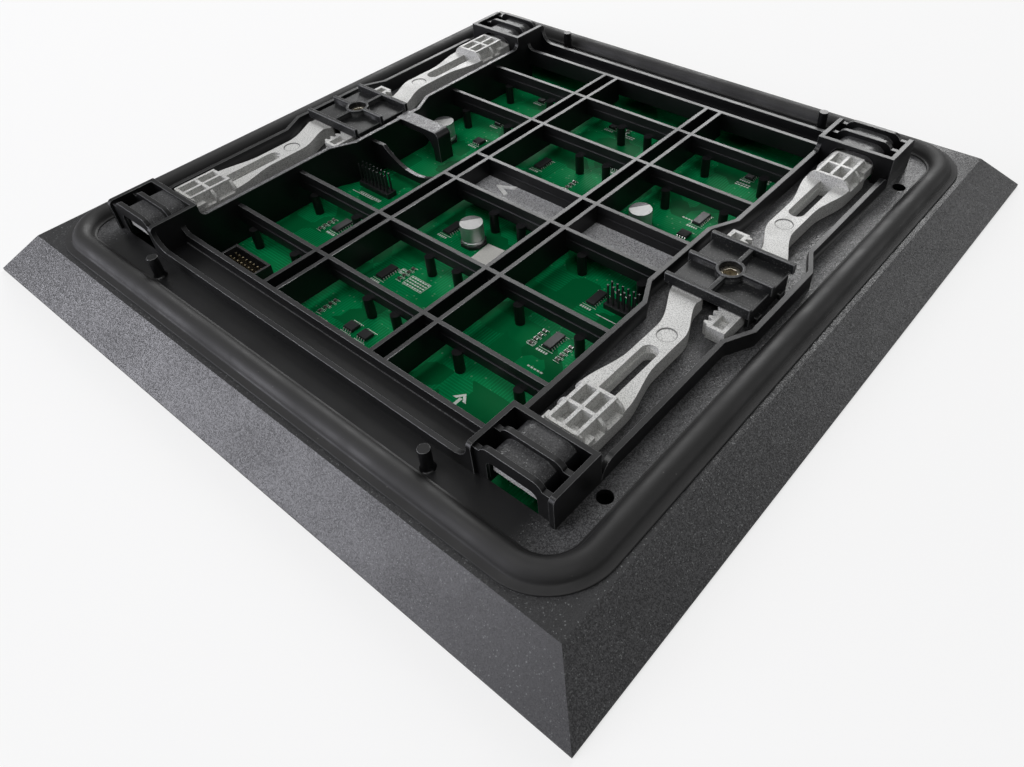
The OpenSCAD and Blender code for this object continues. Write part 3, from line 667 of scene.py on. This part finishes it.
class Batch:
    """Vertices and quads of many like solids, gathered as numpy arrays and turned into one mesh."""

    def __init__(self) -> None:
        """Start with nothing."""
        self.points: list[np.ndarray] = []
        self.quads: list[np.ndarray] = []
        self.count = 0

    def add(self, points: np.ndarray, quads: np.ndarray) -> None:
        """Add one block.

        Args:
            points: places, with x, y and z last.
            quads: numbers of the block's own points, four for each face.
        """
        self.points.append(points.reshape(-1, 3))
        self.quads.append(quads.reshape(-1, 4) + self.count)
        self.count += len(self.points[-1])

    def lofts(self, rings: np.ndarray) -> None:
        """Close stacks of four-cornered rings into solids.

        Quad j of the wall joins corners j and j + 1 of two neighbouring rings; the first and last rings
        are capped.

        Args:
            rings: corners as (solid, ring, 4, 3), anticlockwise seen from the last ring.
        """
        solid_count, stack = rings.shape[:2]
        index = np.arange(solid_count * stack * 4).reshape(solid_count, stack, 4)
        low, high = index[:, :-1], index[:, 1:]
        walls = np.stack([low, np.roll(low, -1, 2), np.roll(high, -1, 2), high], -1)
        caps = np.concatenate([index[:, :1, ::-1], index[:, -1:]], 1)
        self.add(rings, np.concatenate([walls.reshape(-1, 4), caps.reshape(-1, 4)]))

    def plates(self, plans: list[np.ndarray], levels: list[float]) -> None:
        """Solids from four-cornered plans that are stacked at given levels.

        Args:
            plans: one array of corners (solid, 4, 2) for each level, in metres.
            levels: heights in metres.
        """
        rings = [np.concatenate([plan, np.full((*plan.shape[:2], 1), level)], -1)
                 for plan, level in zip(plans, levels)]
        self.lofts(np.stack(rings, 1))

    def boxes(self, low: np.ndarray, high: np.ndarray, heights: tuple | np.ndarray = (0.0, 1.0),
              insets: tuple | np.ndarray = (0.0, 0.0)) -> None:
        """Boxes whose sides step in at given heights.

        Args:
            low: lowest corners, (n, 3).
            high: highest corners, (n, 3).
            heights: share of the height at each ring.
            insets: how far each ring is drawn in, in metres.
        """
        middle, half = (low + high)[:, :2] / 2, (high - low)[:, :2] / 2
        reach = half[:, None, :] - np.asarray(insets)[None, :, None]
        plan = middle[:, None, None] + reach[:, :, None] * SQUARE
        level = low[:, 2:] + (high - low)[:, 2:] * np.asarray(heights)
        self.lofts(np.concatenate([plan, np.repeat(level[:, :, None, None], 4, 2)], -1))

    def ribbons(self, path: np.ndarray, origin: np.ndarray, out: np.ndarray, width: float,
                thick: float) -> None:
        """Flat strips bent along one path, such as the leads of a chip.

        Station i of a strip lies at origin + out * path[i, 0] and rises to path[i, 1]; its section is
        width across and thick upwards.

        Args:
            path: (stations, 2) of distance outwards and height, in metres.
            origin: foot of each strip at the chip's side, (n, 3).
            out: unit vector outwards of each strip, (n, 3).
            width: width of a strip.
            thick: thickness of a strip.
        """
        up = np.array([0.0, 0.0, 1.0])
        side = np.cross(up, out)
        axis = origin[:, None] + out[:, None] * path[None, :, :1] + up * path[None, :, 1:]
        slope = np.gradient(path, axis=0)
        normal = np.stack([-slope[:, 1], slope[:, 0]], -1)
        normal /= np.linalg.norm(normal, axis=1)[:, None]
        lift = (out[:, None] * normal[None, :, :1] + up * normal[None, :, 1:]) * thick / 2
        across = (side * width / 2)[:, None]
        self.lofts(np.stack([axis - across - lift, axis - across + lift, axis + across + lift,
                             axis + across - lift], 2))

    def piece(self, name: str) -> bpy.types.Object:
        """Turn all blocks into one piece.

        Args:
            name: name of the piece and its mesh.

        Returns:
            The new object.
        """
        made = bpy.data.meshes.new(name)
        made.from_pydata(np.concatenate(self.points).tolist(), [], np.concatenate(self.quads).tolist())
        made.update()
        return linked(name, made)


@dataclass
class Moulding:
    """A CAD node shown as its own copy, with the outer edges above a height rounded.

    Edges that turn by more than the angle sharp, in degrees, count as edges. The finish for the rounded
    edges, if there is one, is paler as a painted highlight along them. Without clamp the rounding keeps its
    width at short edges too.
    """

    node: str
    finish: Finish
    slot: str
    body: str = ROOT
    edge: float = 0.3 * MM
    sharp: float = 32.0
    # Finish of the rounded edges: a paler colour as painted highlight.
    edge_highlight: Finish | None = None
    clamp: bool = True
    round_from: float = -1.0

    def paint(self, mesh: bpy.types.Mesh) -> None:
        """Store what the finish reads from the mesh; a plain moulding has nothing to store."""

    def copied(self) -> bpy.types.Mesh:
        """Copy the CAD mesh, merge it, clear its flat splits and mark the edges to round.

        An edge is rounded where its two faces turn outwards by more than the angle and its higher end is
        above the height.

        Returns:
            The new mesh.
        """
        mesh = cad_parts[self.node].data.copy()
        mesh.name = f"{self.node}_looks"
        shape = bmesh.new()
        shape.from_mesh(mesh)
        bmesh.ops.remove_doubles(shape, verts=shape.verts, dist=WELD)
        bmesh.ops.dissolve_limit(shape, angle_limit=FLAT, verts=shape.verts, edges=shape.edges,
                                 delimit=set())
        turn = np.array([edge.calc_face_angle_signed(0.0) for edge in shape.edges])
        shape.to_mesh(mesh)
        shape.free()
        limit = math.radians(self.sharp)
        top = held(mesh.vertices, "co")[held(mesh.edges, "vertices", 2, int), 2].max(1)
        weight = ((turn > limit) & (top > self.round_from)).astype(np.float32)
        mesh.attributes.new("bevel_weight_edge", "FLOAT", "EDGE").data.foreach_set("value", weight)
        mesh.shade_smooth()
        mesh.set_sharp_from_angle(angle=limit)
        return mesh

    def build(self) -> list[bpy.types.Object]:
        """Dress the copy and round its marked edges, with the flat faces kept flat.

        Returns:
            The piece, alone in a list.
        """
        mesh = self.copied()
        self.paint(mesh)
        obj = finished(linked(mesh.name, mesh), self.finish, self.body, self.slot, self.node)
        # The rounded edges get the paler finish: painted highlight.
        if self.edge_highlight:
            mesh.materials.append(self.edge_highlight.material())
        bevel = obj.modifiers.new("edges", "BEVEL")
        bevel.width = self.edge
        bevel.segments = 2
        bevel.limit_method = "WEIGHT"
        bevel.use_clamp_overlap = self.clamp
        bevel.material = 1 if self.edge_highlight else -1
        obj.modifiers.new("flat_faces", "WEIGHTED_NORMAL").keep_sharp = True
        return [obj]


@dataclass
class CaseShell(Moulding):
    """The back case, whose mesh says face by face how much sand grain and paler tone, partly painted light,
    it has. Places are in mm.
    """

    near: float = 0.3
    rib_z: float = 20.5
    wall_z: tuple = (22.0, 24.0)
    roof_z: tuple = (25.5, 28.6)
    roof_half: float = 9.4
    slope_from: float = 140.0
    bridge_x: float = LATCH_X - 20.0
    bridge_y: float = 20.0
    level_rise: float = 0.9
    slope_rise: float = 0.2
    roof_rise: float = 0.6
    # Tone of each zone: the paler plates, bridge and rib tops are painted light; slope, flange and roof carry
    # the grain's own tone.
    tones_and_painted_light: dict[str, float] = field(default_factory=lambda: {
        "slope": 0.1, "flange": 0.05, "plate": 0.85, "roof": 0.085, "rib": -0.02, "bridge": 0.25})

    def paint(self, mesh: bpy.types.Mesh) -> None:
        """Grain on slopes, flange, channel floors, plates and tunnel roofs, picked by place and normal; the
        paler tones of plates, bridge and rib tops are painted light.

        Args:
            mesh: the case's mesh, which gets one value for each face.
        """
        rise = held(mesh.polygons, "normal")[:, 2]
        x, y, z = (np.abs(held(mesh.polygons, "center")) / MM).T
        level = rise > self.level_rise
        zones = {
            "slope": (rise > self.slope_rise) & ~level & (np.maximum(x, y) > self.slope_from),
            "flange": level & (np.abs(z - FLANGE_Z) < self.near),
            "plate": level & (np.abs(z - PLATE_Z) < self.near),
            "roof": ((rise > self.roof_rise) & (z > self.roof_z[0]) & (z < self.roof_z[1])
                     & (np.abs(x - LATCH_X) < self.roof_half)),
            "rib": level & (np.abs(z - self.rib_z) < self.near),
            "bridge": (level & (z > self.wall_z[0]) & (z < self.wall_z[1])
                       & (x < self.bridge_x) & (y < self.bridge_y)),
        }
        share = np.select(list(zones.values()), [self.tones_and_painted_light[zone] for zone in zones], 0.0)
        mesh.attributes.new(GRAIN_AND_PAINTED_LIGHT, "FLOAT", "FACE").data.foreach_set("value", share)


@dataclass
class Gasket:
    """The rubber gasket: one section carried round a square with round corners. The section is in mm."""

    straight: int = 60
    bend: int = 24
    corner: float = 24 * MM
    bead_place: float = 7.3
    bead_radius: float = 4.3
    bead_lift: float = 0.3
    bead_steps: int = 25
    bead_foot: float = 1.1
    lip_out: tuple = ((0.0, 0.0), (0.0, 0.5), (0.12, 0.66), (0.3, 0.7), (2.5, 0.7), (2.85, 0.9))
    lip_in: tuple = ((11.75, 0.9), (11.9, 0.7), (12.4, 0.68), (12.55, 0.55), (12.6, 0.0))

    def path(self, reach: float) -> tuple[np.ndarray, np.ndarray]:
        """Points and outward normals of the ring: one side and one corner arc, turned four times.

        Args:
            reach: half side of the ring.

        Returns:
            Points (n, 2) and unit normals (n, 2), anticlockwise.
        """
        turn = np.linspace(0, math.pi / 2, self.bend)
        arc = np.stack([np.cos(turn), np.sin(turn)], 1)
        inner = reach - self.corner
        run = np.linspace(-inner, inner, self.straight)[1:-1]
        points = np.concatenate([np.stack([np.full_like(run, reach), run], 1), inner + self.corner * arc])
        normals = np.concatenate([np.tile([1.0, 0.0], (len(run), 1)), arc])
        quarter = np.array([[0.0, -1.0], [1.0, 0.0]])
        turns = [np.linalg.matrix_power(quarter, k) for k in range(4)]
        return np.concatenate([points @ t.T for t in turns]), np.concatenate([normals @ t.T for t in turns])

    def section(self) -> np.ndarray:
        """Section of the gasket: the bead is a circle arc over the two lips, with rounded feet.

        Returns:
            Points (n, 2) of distance from the lip's edge inwards and height over the flange, in metres.
        """
        turn = np.linspace(0.0, math.pi, self.bead_steps)
        bead = np.stack([self.bead_place - self.bead_radius * np.cos(turn),
                         self.bead_lift + self.bead_radius * np.sin(turn)], 1)
        keep = bead[bead[:, 1] > self.bead_foot]
        return np.concatenate([self.lip_out, keep, self.lip_in]) * MM

    def build(self) -> list[bpy.types.Object]:
        """Carry the section round the ring as one grid.

        Returns:
            The ring, alone in a list.
        """
        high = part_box("sealing_gasket")[1]
        points, normals = self.path(high.x)
        section = self.section()
        plan = points[:, None] - normals[:, None] * section[None, :, :1]
        level = np.broadcast_to(FLANGE_Z * MM + section[None, :, 1:], (*plan.shape[:2], 1))
        grid = np.concatenate([plan, level], -1)
        index = np.arange(grid.shape[0] * grid.shape[1]).reshape(grid.shape[:2])
        ahead = np.roll(index, -1, 0)
        batch = Batch()
        batch.add(grid, np.stack([index[:, :-1], ahead[:, :-1], ahead[:, 1:], index[:, 1:]], -1))
        ring = batch.piece("gasket_sweep")
        ring.data.shade_smooth()
        return [finished(ring, RUBBER, ROOT, "gasket_rubber", "sealing_gasket")]


@dataclass
class Chips:
    """Moulded chips with gull-wing leads, placed where the CAD node has its solids.

    A body's sides step in by draws, in mm, at the shares of its height in rings. A lead follows bend, in
    mm outwards and upwards from the body's side.
    """

    node: str
    leads: int
    lead_axis: int
    pitch: float = 1.27 * MM
    reach: float = 0.8 * MM
    lift: float = 0.15 * MM
    rings: tuple = (0.0, 0.42, 0.55, 0.94, 1.0)
    draws: tuple = (0.16, 0.0, 0.0, 0.14, 0.22)
    bend: tuple = ((-0.1, 0.75), (0.18, 0.75), (0.3, 0.68), (0.4, 0.2), (0.5, 0.1), (0.8, 0.09))
    lead_width: float = 0.45 * MM
    lead_thick: float = 0.16 * MM

    def build(self) -> list[bpy.types.Object]:
        """Build all bodies as one piece and all leads as another.

        Returns:
            Bodies and leads.
        """
        low, high = solids(self.node).transpose(1, 0, 2)
        pull = np.zeros(3)
        pull[self.lead_axis] = self.reach
        body = Batch()
        body.boxes(low + pull + [0.0, 0.0, self.lift], high - pull, self.rings, np.array(self.draws) * MM)
        bodies = body.piece(f"{self.node}_bodies")
        wings = Batch()
        row = np.zeros((self.leads, 3))
        row[:, 1 - self.lead_axis] = (np.arange(self.leads) - (self.leads - 1) / 2) * self.pitch
        half = (high - low)[:, self.lead_axis] / 2 - self.reach
        for sign in (-1.0, 1.0):
            out = np.zeros(3)
            out[self.lead_axis] = sign
            foot = ((low + high) / 2)[:, None] + out * half[:, None, None] + row
            foot[..., 2] = low[:, None, 2]
            foot = foot.reshape(-1, 3)
            wings.ribbons(np.array(self.bend) * MM, foot, np.tile(out, (len(foot), 1)), self.lead_width,
                          self.lead_thick)
        leads = wings.piece(f"{self.node}_leads")
        return [finished(bodies, EPOXY, ROOT, "chip_black", self.node),
                finished(leads, TIN, ROOT, "pin_metal")]


@dataclass
class Passives:
    """Small ceramic parts with tinned ends, which stand proud of the body by skin."""

    node: str = "chip_passives"
    end: float = 0.4 * MM
    skin: float = 0.03 * MM
    rings: tuple = (0.0, 0.85, 1.0)
    draws: tuple = (0.0, 0.0, 0.08 * MM)

    def build(self) -> list[bpy.types.Object]:
        """Build the bodies and their two tinned ends.

        Returns:
            Bodies and ends.
        """
        low, high = solids(self.node).transpose(1, 0, 2)
        body = Batch()
        body.boxes(low + [self.end, self.skin, 0.0], high - [self.end, self.skin, self.skin])
        bodies = body.piece("passive_bodies")
        ends = Batch()
        between = (high - low - self.end) * [1.0, 0.0, 0.0]
        ends.boxes(low, high - between, self.rings, self.draws)
        ends.boxes(low + between, high, self.rings, self.draws)
        caps = ends.piece("passive_ends")
        return [finished(bodies, CERAMIC, ROOT, "passive_tan", self.node),
                finished(caps, TIN, ROOT, "pin_metal")]


class Mark(Enum):
    """Printed marks beside the parts on the board."""

    FRAME = "frame"
    DASHES = "dashes"


@dataclass
class Print:
    """White printed marks on the board: frames round parts, plain dashes, bars and one arrow.

    Blocks of dashes are given by their middle in mm, columns, rows and whether a frame goes round them.
    Sizes without another unit are in mm.
    """

    thick: float = 0.02 * MM
    stroke: float = 0.22 * MM
    margin: float = 0.5 * MM
    pitch: float = 1.5
    dash: tuple = (1.1, 0.7)
    row_count: int = 5
    row_step: float = 1.1
    row_drop: float = 1.9
    row_dash: tuple = (0.75, 1.1)
    bar: tuple = (14.25, 0.4)
    bar_drop: float = 4.6
    arrow_tip: tuple = (55.0, -90.0)
    arrow_half: float = 3.2
    arrow_length: float = 8.0
    arrow_shaft: float = 1.3
    arrow_neck: float = 2.6
    arrow_barb: float = 3.6
    arrow_limb: float = 1.6
    blocks: tuple = ((-4.0, -59.0, 7, 4, True), (-13.7, -56.6, 3, 2, True), (-69.0, -28.0, 9, 1, True),
                     (63.0, 82.4, 5, 2, False), (58.0, 45.0, 4, 1, False), (55.8, -56.5, 2, 1, True),
                     (66.0, -66.0, 5, 1, False), (-18.0, -97.0, 4, 2, False), (-4.0, 86.0, 4, 2, False),
                     (-57.0, 63.3, 4, 1, False), (66.0, -14.0, 6, 1, False), (12.0, 22.0, 5, 1, False))

    def block(self, x: float, y: float, columns: int, rows: int,
              framed: bool) -> tuple[np.ndarray, np.ndarray]:
        """Rows of plain dashes about one place, with or without a frame.

        Args:
            x: middle of the block across the board, in mm.
            y: middle of the block along the board, in mm.
            columns: dashes in a row.
            rows: number of rows.
            framed: draw a thin frame round the block.

        Returns:
            Lowest and highest corners of the strokes, (m, 2) each, in metres.
        """
        count = np.array([columns, rows])
        grid = np.stack(np.meshgrid(*map(np.arange, count)), -1).reshape(-1, 2)
        low = (np.array([x, y]) + (grid - (count - 1) / 2) * self.pitch - np.array(self.dash) / 2) * MM
        high = low + np.array(self.dash) * MM
        if framed:
            (x0, y0), (x1, y1) = low.min(0) - self.margin, high.max(0) + self.margin
            t = self.stroke
            low = np.vstack([low, [[x0, y0], [x0, y1 - t], [x0, y0], [x1 - t, y0]]])
            high = np.vstack([high, [[x1, y0 + t], [x1, y1], [x0 + t, y1], [x1, y1]]])
        return low, high

    def strokes(self, low: np.ndarray, high: np.ndarray, mark: Mark) -> tuple[np.ndarray, np.ndarray]:
        """Plan boxes of the marks beside some parts.

        Args:
            low: lowest corners of the parts, (n, 3).
            high: highest corners of the parts, (n, 3).
            mark: which mark.

        Returns:
            Lowest and highest corners of the strokes, (m, 2) each.
        """
        a, b = low[:, :2] - self.margin, high[:, :2] + self.margin
        if mark is Mark.FRAME:
            first = np.concatenate([a, np.stack([a[:, 0], b[:, 1] - self.stroke], 1)])
            last = np.concatenate([np.stack([b[:, 0], a[:, 1] + self.stroke], 1), b])
            return first, last
        steps = np.stack([np.arange(self.row_count) * self.row_step,
                          np.full(self.row_count, -self.row_drop)], 1) * MM
        first = (a[:, None] + steps).reshape(-1, 2)
        return first, first + np.array(self.row_dash) * MM

    def arrow(self, batch: Batch) -> None:
        """A plain arrow: a shaft, and a head of two slanted bars that meet at its tip.

        Args:
            batch: the mesh that takes it.
        """
        half, shaft, limb = self.arrow_half, self.arrow_shaft / 2, self.arrow_limb
        foot, neck, barb = -self.arrow_length, -self.arrow_neck, -self.arrow_barb
        plans = np.array([
            [[-shaft, foot], [shaft, foot], [shaft, neck], [-shaft, neck]],
            [[-half, barb], [limb - half, barb], [0.0, -limb], [0.0, 0.0]],
            [[half - limb, barb], [half, barb], [0.0, 0.0], [0.0, -limb]],
        ])
        plan = (plans + self.arrow_tip) * MM
        batch.plates([plan, plan], [BOARD_Z * MM, BOARD_Z * MM + self.thick])

    def build(self) -> list[bpy.types.Object]:
        """Print every mark as thin plates on the board.

        Returns:
            The print, alone in a list.
        """
        low, high = np.concatenate([solids("driver_chips"), solids("logic_chips")]).transpose(1, 0, 2)
        sets = [self.strokes(low, high, mark) for mark in Mark]
        sets.append(self.strokes(*solids("chip_passives").transpose(1, 0, 2), Mark.FRAME))
        sets += [self.block(*block) for block in self.blocks]
        bars = solids("pin_headers")[:, 0, :2] - np.array([0.0, self.bar_drop]) * MM
        sets.append((bars, bars + np.array(self.bar) * MM))
        first, last = (np.concatenate(ends) for ends in zip(*sets))
        floor = np.full((len(first), 1), BOARD_Z * MM)
        batch = Batch()
        batch.boxes(np.hstack([first, floor]), np.hstack([last, floor + self.thick]))
        self.arrow(batch)
        return [finished(batch.piece("board_print"), INK, ROOT, "sticker_white")]


@dataclass
class PlateMark:
    """A raised arrow on the middle floor plate, pale as painted highlight on the case plastic. The bar's
    corners and the tip's place are in mm.
    """

    rise: float = 0.4 * MM
    draft: float = 0.94
    tip: tuple = (-18.0, 4.6)
    bar: tuple = ((9.0, -4.4), (9.0, -2.0), (4.0, 0.0), (0.0, 0.0))

    def build(self) -> list[bpy.types.Object]:
        """Two slanted bars that meet at the tip, the second the mirror image, with a small draft.

        Returns:
            The arrow, alone in a list.
        """
        bar = np.array(self.bar)
        plan = (np.stack([bar, bar[::-1] * [1.0, -1.0]]) + self.tip) * MM
        middle = plan.mean(1, keepdims=True)
        batch = Batch()
        batch.plates([plan, middle + (plan - middle) * self.draft], [PLATE_Z * MM, PLATE_Z * MM + self.rise])
        # The arrow is case plastic, painted pale as its highlight.
        return [finished(batch.piece("plate_arrow"), ARROW_HIGHLIGHT, ROOT, "case_plastic")]


@dataclass
class Plain:
    """CAD nodes shown as they are, with a finish."""

    dress: dict[str, Finish] = field(default_factory=lambda: {
        "front_mask": MASK, "circuit_board": BOARD, "led_lamps": LAMP, "mask_screws": SCREW,
        "capacitor_bases": HOUSING, "data_header_pins": GOLD, "pin_header_pins": HOUSING,
        "board_sticker": PAPER, "spindle_seal_left": SEAL, "spindle_seal_right": SEAL})

    def build(self) -> list[bpy.types.Object]:
        """Give each node its material.

        Returns:
            The nodes' objects.
        """
        for node, finish in self.dress.items():
            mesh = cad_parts[node].data
            mesh.materials.clear()
            mesh.materials.append(finish.material())
        return [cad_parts[node] for node in self.dress]


@dataclass(frozen=True)
class PhotoCamera:
    """The camera solved from the photograph, by its axes in the part's frame."""

    place: tuple = (0.207922, -0.210713, 0.2071)
    right: tuple = (0.7646366, 0.6433063, -0.0385732)
    down: tuple = (0.4404552, -0.5653444, -0.6974131)
    ahead: tuple = (-0.4704574, 0.5162778, -0.7156306)
    focal_px: float = 796.317
    centre_px: tuple = (555.859, 375.863)
    size_px: tuple = (1024, 767)
    sensor: float = 36.0
    clip: tuple = (0.01, 50.0)

    def build(self) -> list[bpy.types.Object]:
        """Make the camera and set it as the scene's.

        Returns:
            The camera, alone in a list.
        """
        data = bpy.data.cameras.new("photo_camera")
        width, height = self.size_px
        data.sensor_width = self.sensor
        data.lens = self.focal_px / width * self.sensor
        data.shift_x = (width / 2 - self.centre_px[0]) / width
        data.shift_y = (self.centre_px[1] - height / 2) / width
        data.clip_start, data.clip_end = self.clip
        obj = linked("photo_camera", data)
        turn = Matrix((self.right, [-v for v in self.down], [-v for v in self.ahead])).transposed()
        obj.matrix_world = Matrix.LocRotScale(Vector(self.place), turn.to_quaternion(), None)
        bpy.context.scene.camera = obj
        return [obj]


@dataclass(frozen=True)
class Lamp:
    """A soft oblong light aimed at the middle of the module."""

    name: str
    place: tuple
    size: tuple
    power: float
    colour: Colour = (1.0, 1.0, 1.0)

    def build(self) -> None:
        """Make the light and turn it to the origin."""
        data = bpy.data.lights.new(self.name, "AREA")
        data.shape = "RECTANGLE"
        data.size, data.size_y = self.size
        data.energy = self.power
        data.color = self.colour
        obj = linked(self.name, data)
        obj.location = self.place
        obj.rotation_mode = "QUATERNION"
        obj.rotation_quaternion = (-Vector(self.place)).to_track_quat("-Z", "Y")


@dataclass
class Studio:
    """Pale floor, pale background and soft lights."""

    lamps: tuple = (
        Lamp("key", (-1.1, -1.5, 0.5), (1.2, 1.2), 25.0, (0.92, 0.915, 1.0)),
        Lamp("main", (-0.5, -0.5, 1.9), (0.9, 0.9), 12.0),
        Lamp("fill", (1.2, -0.8, 1.5), (0.8, 0.8), 7.0),
        Lamp("back", (-0.85, 1.45, 0.95), (1.6, 0.6), 24.0),
        Lamp("right", (1.4, 1.5, 0.5), (1.0, 1.0), 2.5),
    )
    ambient: float = 0.06
    backdrop: Colour = (0.93, 0.93, 0.93)
    paper: float = 0.7
    mirrored: float = 0.3
    floor_half: float = 3.0
    floor_drop: float = 0.1 * MM

    def sheet(self) -> bpy.types.Material:
        """Pale paper that keeps the shadow and looks nearly white to the camera.

        Returns:
            The floor's material.
        """
        made = Finish("floor_paper", (0.9, 0.9, 0.9), rough=0.9, specular=0.1).material()
        tree = made.node_tree
        seen = Sh(tree).node("ShaderNodeLightPath", out="Is Camera Ray") * self.paper
        white = seen.node("ShaderNodeEmission", Strength=1.0)
        body = Sh(tree, tree.nodes["Principled BSDF"].outputs[0])
        mixed = seen.node("ShaderNodeMixShader", i0=seen, i1=body, i2=white)
        tree.links.new(mixed.socket, tree.nodes["Material Output"].inputs["Surface"])
        return made

    def build(self) -> list[bpy.types.Object]:
        """Set up the floor, the world and the lamps: the world looks pale and gives a faint even light.

        Returns:
            The floor, alone in a list.
        """
        batch = Batch()
        batch.add(np.hstack([SQUARE * self.floor_half, np.full((4, 1), -self.floor_drop)]), np.arange(4))
        floor = batch.piece("floor")
        floor.data.materials.append(self.sheet())
        world = bpy.data.worlds.new("studio")
        world.use_nodes = True
        bpy.context.scene.world = world
        tree = world.node_tree
        tree.nodes.clear()
        rays = ("Is Camera Ray", "Is Glossy Ray")
        direct, glossy = (Sh(tree).node("ShaderNodeLightPath", out=ray) for ray in rays)
        seen = direct.most(glossy * self.mirrored)
        shade = seen.mix((self.ambient,) * 3, self.backdrop)
        light = shade.node("ShaderNodeBackground", Color=shade, Strength=1.0)
        out = tree.nodes.new("ShaderNodeOutputWorld")
        tree.links.new(light.socket, out.inputs["Surface"])
        for lamp in self.lamps:
            lamp.build()
        return [floor]


def makers() -> list:
    """List every sub-assembly, the camera and the studio, in the order of building.

    Returns:
        Objects with a build method.
    """
    made = [Plain(), CaseShell("back_case", CASE, "case_plastic", edge=0.12 * MM, edge_highlight=EDGE, clamp=False,
                               round_from=(FLANGE_Z + 1.0) * MM)]
    for side in ("left", "right"):
        made.append(Moulding(f"lock_cover_{side}", COVER, "cover_plastic", edge_highlight=COVER_EDGE_HIGHLIGHT))
        made.append(Moulding(f"lock_spindle_{side}", BRASS, "spindle_brass", f"spindle_{side}",
                             edge=0.15 * MM))
        made += [Moulding(f"latch_arm_{side}_{end}", CAST, "arm_metal", f"arm_{side}_{end}")
                 for end in ("near", "far")]
    middles = solids("capacitor_cans").mean(1)[:, :2] / MM
    can = replace(CAN, centres=tuple(map(tuple, np.round(middles, 2).tolist())))
    made += [Gasket(), Moulding("capacitor_cans", can, "can_metal", edge=0.5 * MM)]
    made += [Moulding(node, HOUSING, "header_black", edge=0.12 * MM)
             for node in ("data_header", "pin_headers")]
    made += [Chips("driver_chips", leads=7, lead_axis=0), Chips("logic_chips", leads=4, lead_axis=1)]
    made += [Passives(), Print(), PlateMark()]
    return made + [PhotoCamera(), Studio()]


def main() -> None:
    """Build every piece in order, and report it."""
    logging.basicConfig(level=logging.INFO, format="%(message)s")
    scene = bpy.context.scene
    scene.view_settings.view_transform = "Standard"
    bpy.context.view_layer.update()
    for maker in makers():
        for piece in maker.build():
            LOG.info("%s made %s", type(maker).__name__, piece.name)
    scene.view_layers[0].update()


if __name__ == "__main__":
    main()
